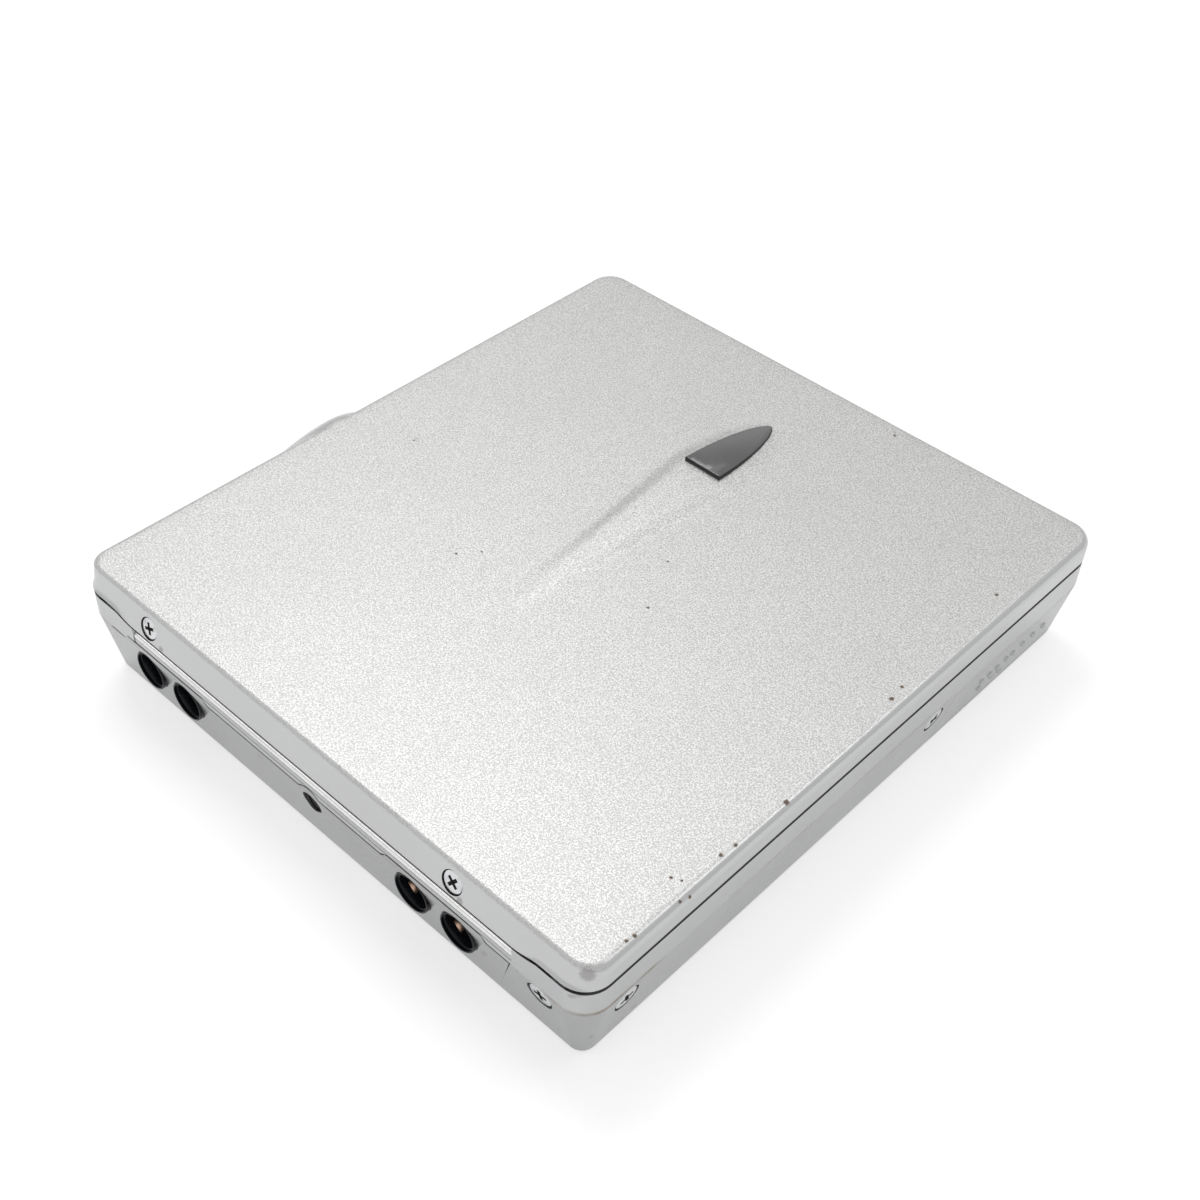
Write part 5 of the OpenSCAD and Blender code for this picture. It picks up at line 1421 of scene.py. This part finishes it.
class PLAYER_OT_stage(bpy.types.Operator):
    """Pale floor, soft studio light and the photograph's camera"""

    bl_idname = "player.stage"
    bl_label = "Stage"

    def execute(self, context):
        self.floor()
        self.world()
        self.lamps()
        self.camera()
        return {"FINISHED"}

    def floor(self):
        """A wide flat sheet, lifted to white for the camera and mirrors, and clear from below."""
        mesh = bpy.data.meshes.new("floor")
        corners = [(x * FLOOR_HALF, y * FLOOR_HALF, FLOOR_Z) for x, y in CORNERS]
        mesh.from_pydata(corners, [], [[0, 1, 2, 3]])
        obj = put(mesh, "floor")
        paint = bpy.data.materials.new("pale_floor")
        paint.use_nodes = True
        g = Graph(paint.node_tree)
        camera, sharp = g.rays()
        level = g.span(g.away(), *FLOOR_LIFT_FROM, *FLOOR_LIFT)
        strength = g.greater(camera, sharp * FLOOR_MIRRORED) * level
        base = g.out("ShaderNodeBsdfDiffuse", 0, {"Color": tint("floor")})
        lift = g.out("ShaderNodeEmission", 0, {"Color": WHITE, "Strength": strength})
        both = g.out("ShaderNodeAddShader", 0, {0: base, 1: lift})
        clear = g.out("ShaderNodeBsdfTransparent", 0, {"Color": WHITE})
        below = g.out("ShaderNodeNewGeometry", "Backfacing")
        shown = g.out("ShaderNodeMixShader", 0, {0: below, 1: both, 2: clear})
        g.add("ShaderNodeOutputMaterial", {"Surface": shown})
        mesh.materials.append(paint)

    def world(self):
        """A white world: soft as light, stronger in mirrors, and plain white to the camera."""
        world = bpy.data.worlds.new("studio")
        world.use_nodes = True
        g = Graph(world.node_tree)
        camera, sharp = g.rays()
        strength = g.greater(sharp * (WORLD_SEEN - WORLD_SOFT) + WORLD_SOFT, camera)
        white = g.out("ShaderNodeBackground", 0, {"Color": WHITE, "Strength": strength})
        g.add("ShaderNodeOutputWorld", {"Surface": white})
        bpy.context.scene.world = world

    def lamps(self):
        """A soft key from the left and behind, three strips and a small card in front."""
        for name, place, size, watts in LAMPS:
            data = bpy.data.lights.new(name, "AREA")
            data.shape, data.energy = "RECTANGLE", watts
            data.size, data.size_y = size
            away = np.subtract(place, LAMP_AIM)
            away /= np.linalg.norm(away)
            side = np.cross((0, 0, 1), away)
            side /= np.linalg.norm(side)
            pose(put(data, name), np.column_stack([side, np.cross(away, side), away]), place)

    def camera(self):
        """The photograph's camera, with axes right, up and back; the eye undoes the offset."""
        az, el, roll = (math.radians(a) for a in PHOTO_ANGLES)
        back = np.array((math.sin(az) * math.cos(el), -math.cos(az) * math.cos(el), math.sin(el)))
        right = np.array((math.cos(az), math.sin(az), 0.0))
        up = np.cross(back, right)
        c, n = math.cos(roll), math.sin(roll)
        turn = np.column_stack([c * right + n * up, c * up - n * right, back])
        data = bpy.data.cameras.new("photo_camera")
        data.sensor_fit, data.sensor_width = "HORIZONTAL", SENSOR_MM
        data.lens = PHOTO_FOCAL / PHOTO_PIXELS * SENSOR_MM
        data.clip_start, data.clip_end = CLIP
        obj = put(data, "photo_camera")
        pose(obj, turn, -turn @ np.array(PHOTO_OFFSET) * MM)
        bpy.context.scene.camera = obj


OPERATORS = (
    PLAYER_OT_lid, PLAYER_OT_window, PLAYER_OT_screws, PLAYER_OT_strip, PLAYER_OT_panel,
    PLAYER_OT_jacks, PLAYER_OT_swelling, PLAYER_OT_door, PLAYER_OT_keys, PLAYER_OT_knobs,
    PLAYER_OT_kept, PLAYER_OT_stage,
)


class PLAYER_PT_build(bpy.types.Panel):
    """Sidebar list of the pieces"""

    bl_idname = "PLAYER_PT_build"
    bl_label = "Disc player"
    bl_space_type = "VIEW_3D"
    bl_region_type = "UI"
    bl_category = "Player"

    def draw(self, context):
        for op in OPERATORS:
            self.layout.operator(op.bl_idname)
        for name in PlayerSizes.__annotations__:
            self.layout.prop(context.scene.player_sizes, name)
        for name in PlayerFinishes.__annotations__:
            self.layout.prop(context.scene.player_finishes, name)


CLASSES = (PlayerSizes, PlayerFinishes, *OPERATORS, PLAYER_PT_build)


def register():
    for cls in CLASSES:
        bpy.utils.register_class(cls)
    bpy.types.Scene.player_sizes = PointerProperty(type=PlayerSizes)
    bpy.types.Scene.player_finishes = PointerProperty(type=PlayerFinishes)


def unregister():
    del bpy.types.Scene.player_finishes
    del bpy.types.Scene.player_sizes
    for cls in reversed(CLASSES):
        bpy.utils.unregister_class(cls)


def main():
    register()
    bpy.context.scene.view_settings.view_transform = "Standard"
    for op in OPERATORS:
        family, name = op.bl_idname.split(".")
        getattr(getattr(bpy.ops, family), name)()


if __name__ == "__main__":
    main()
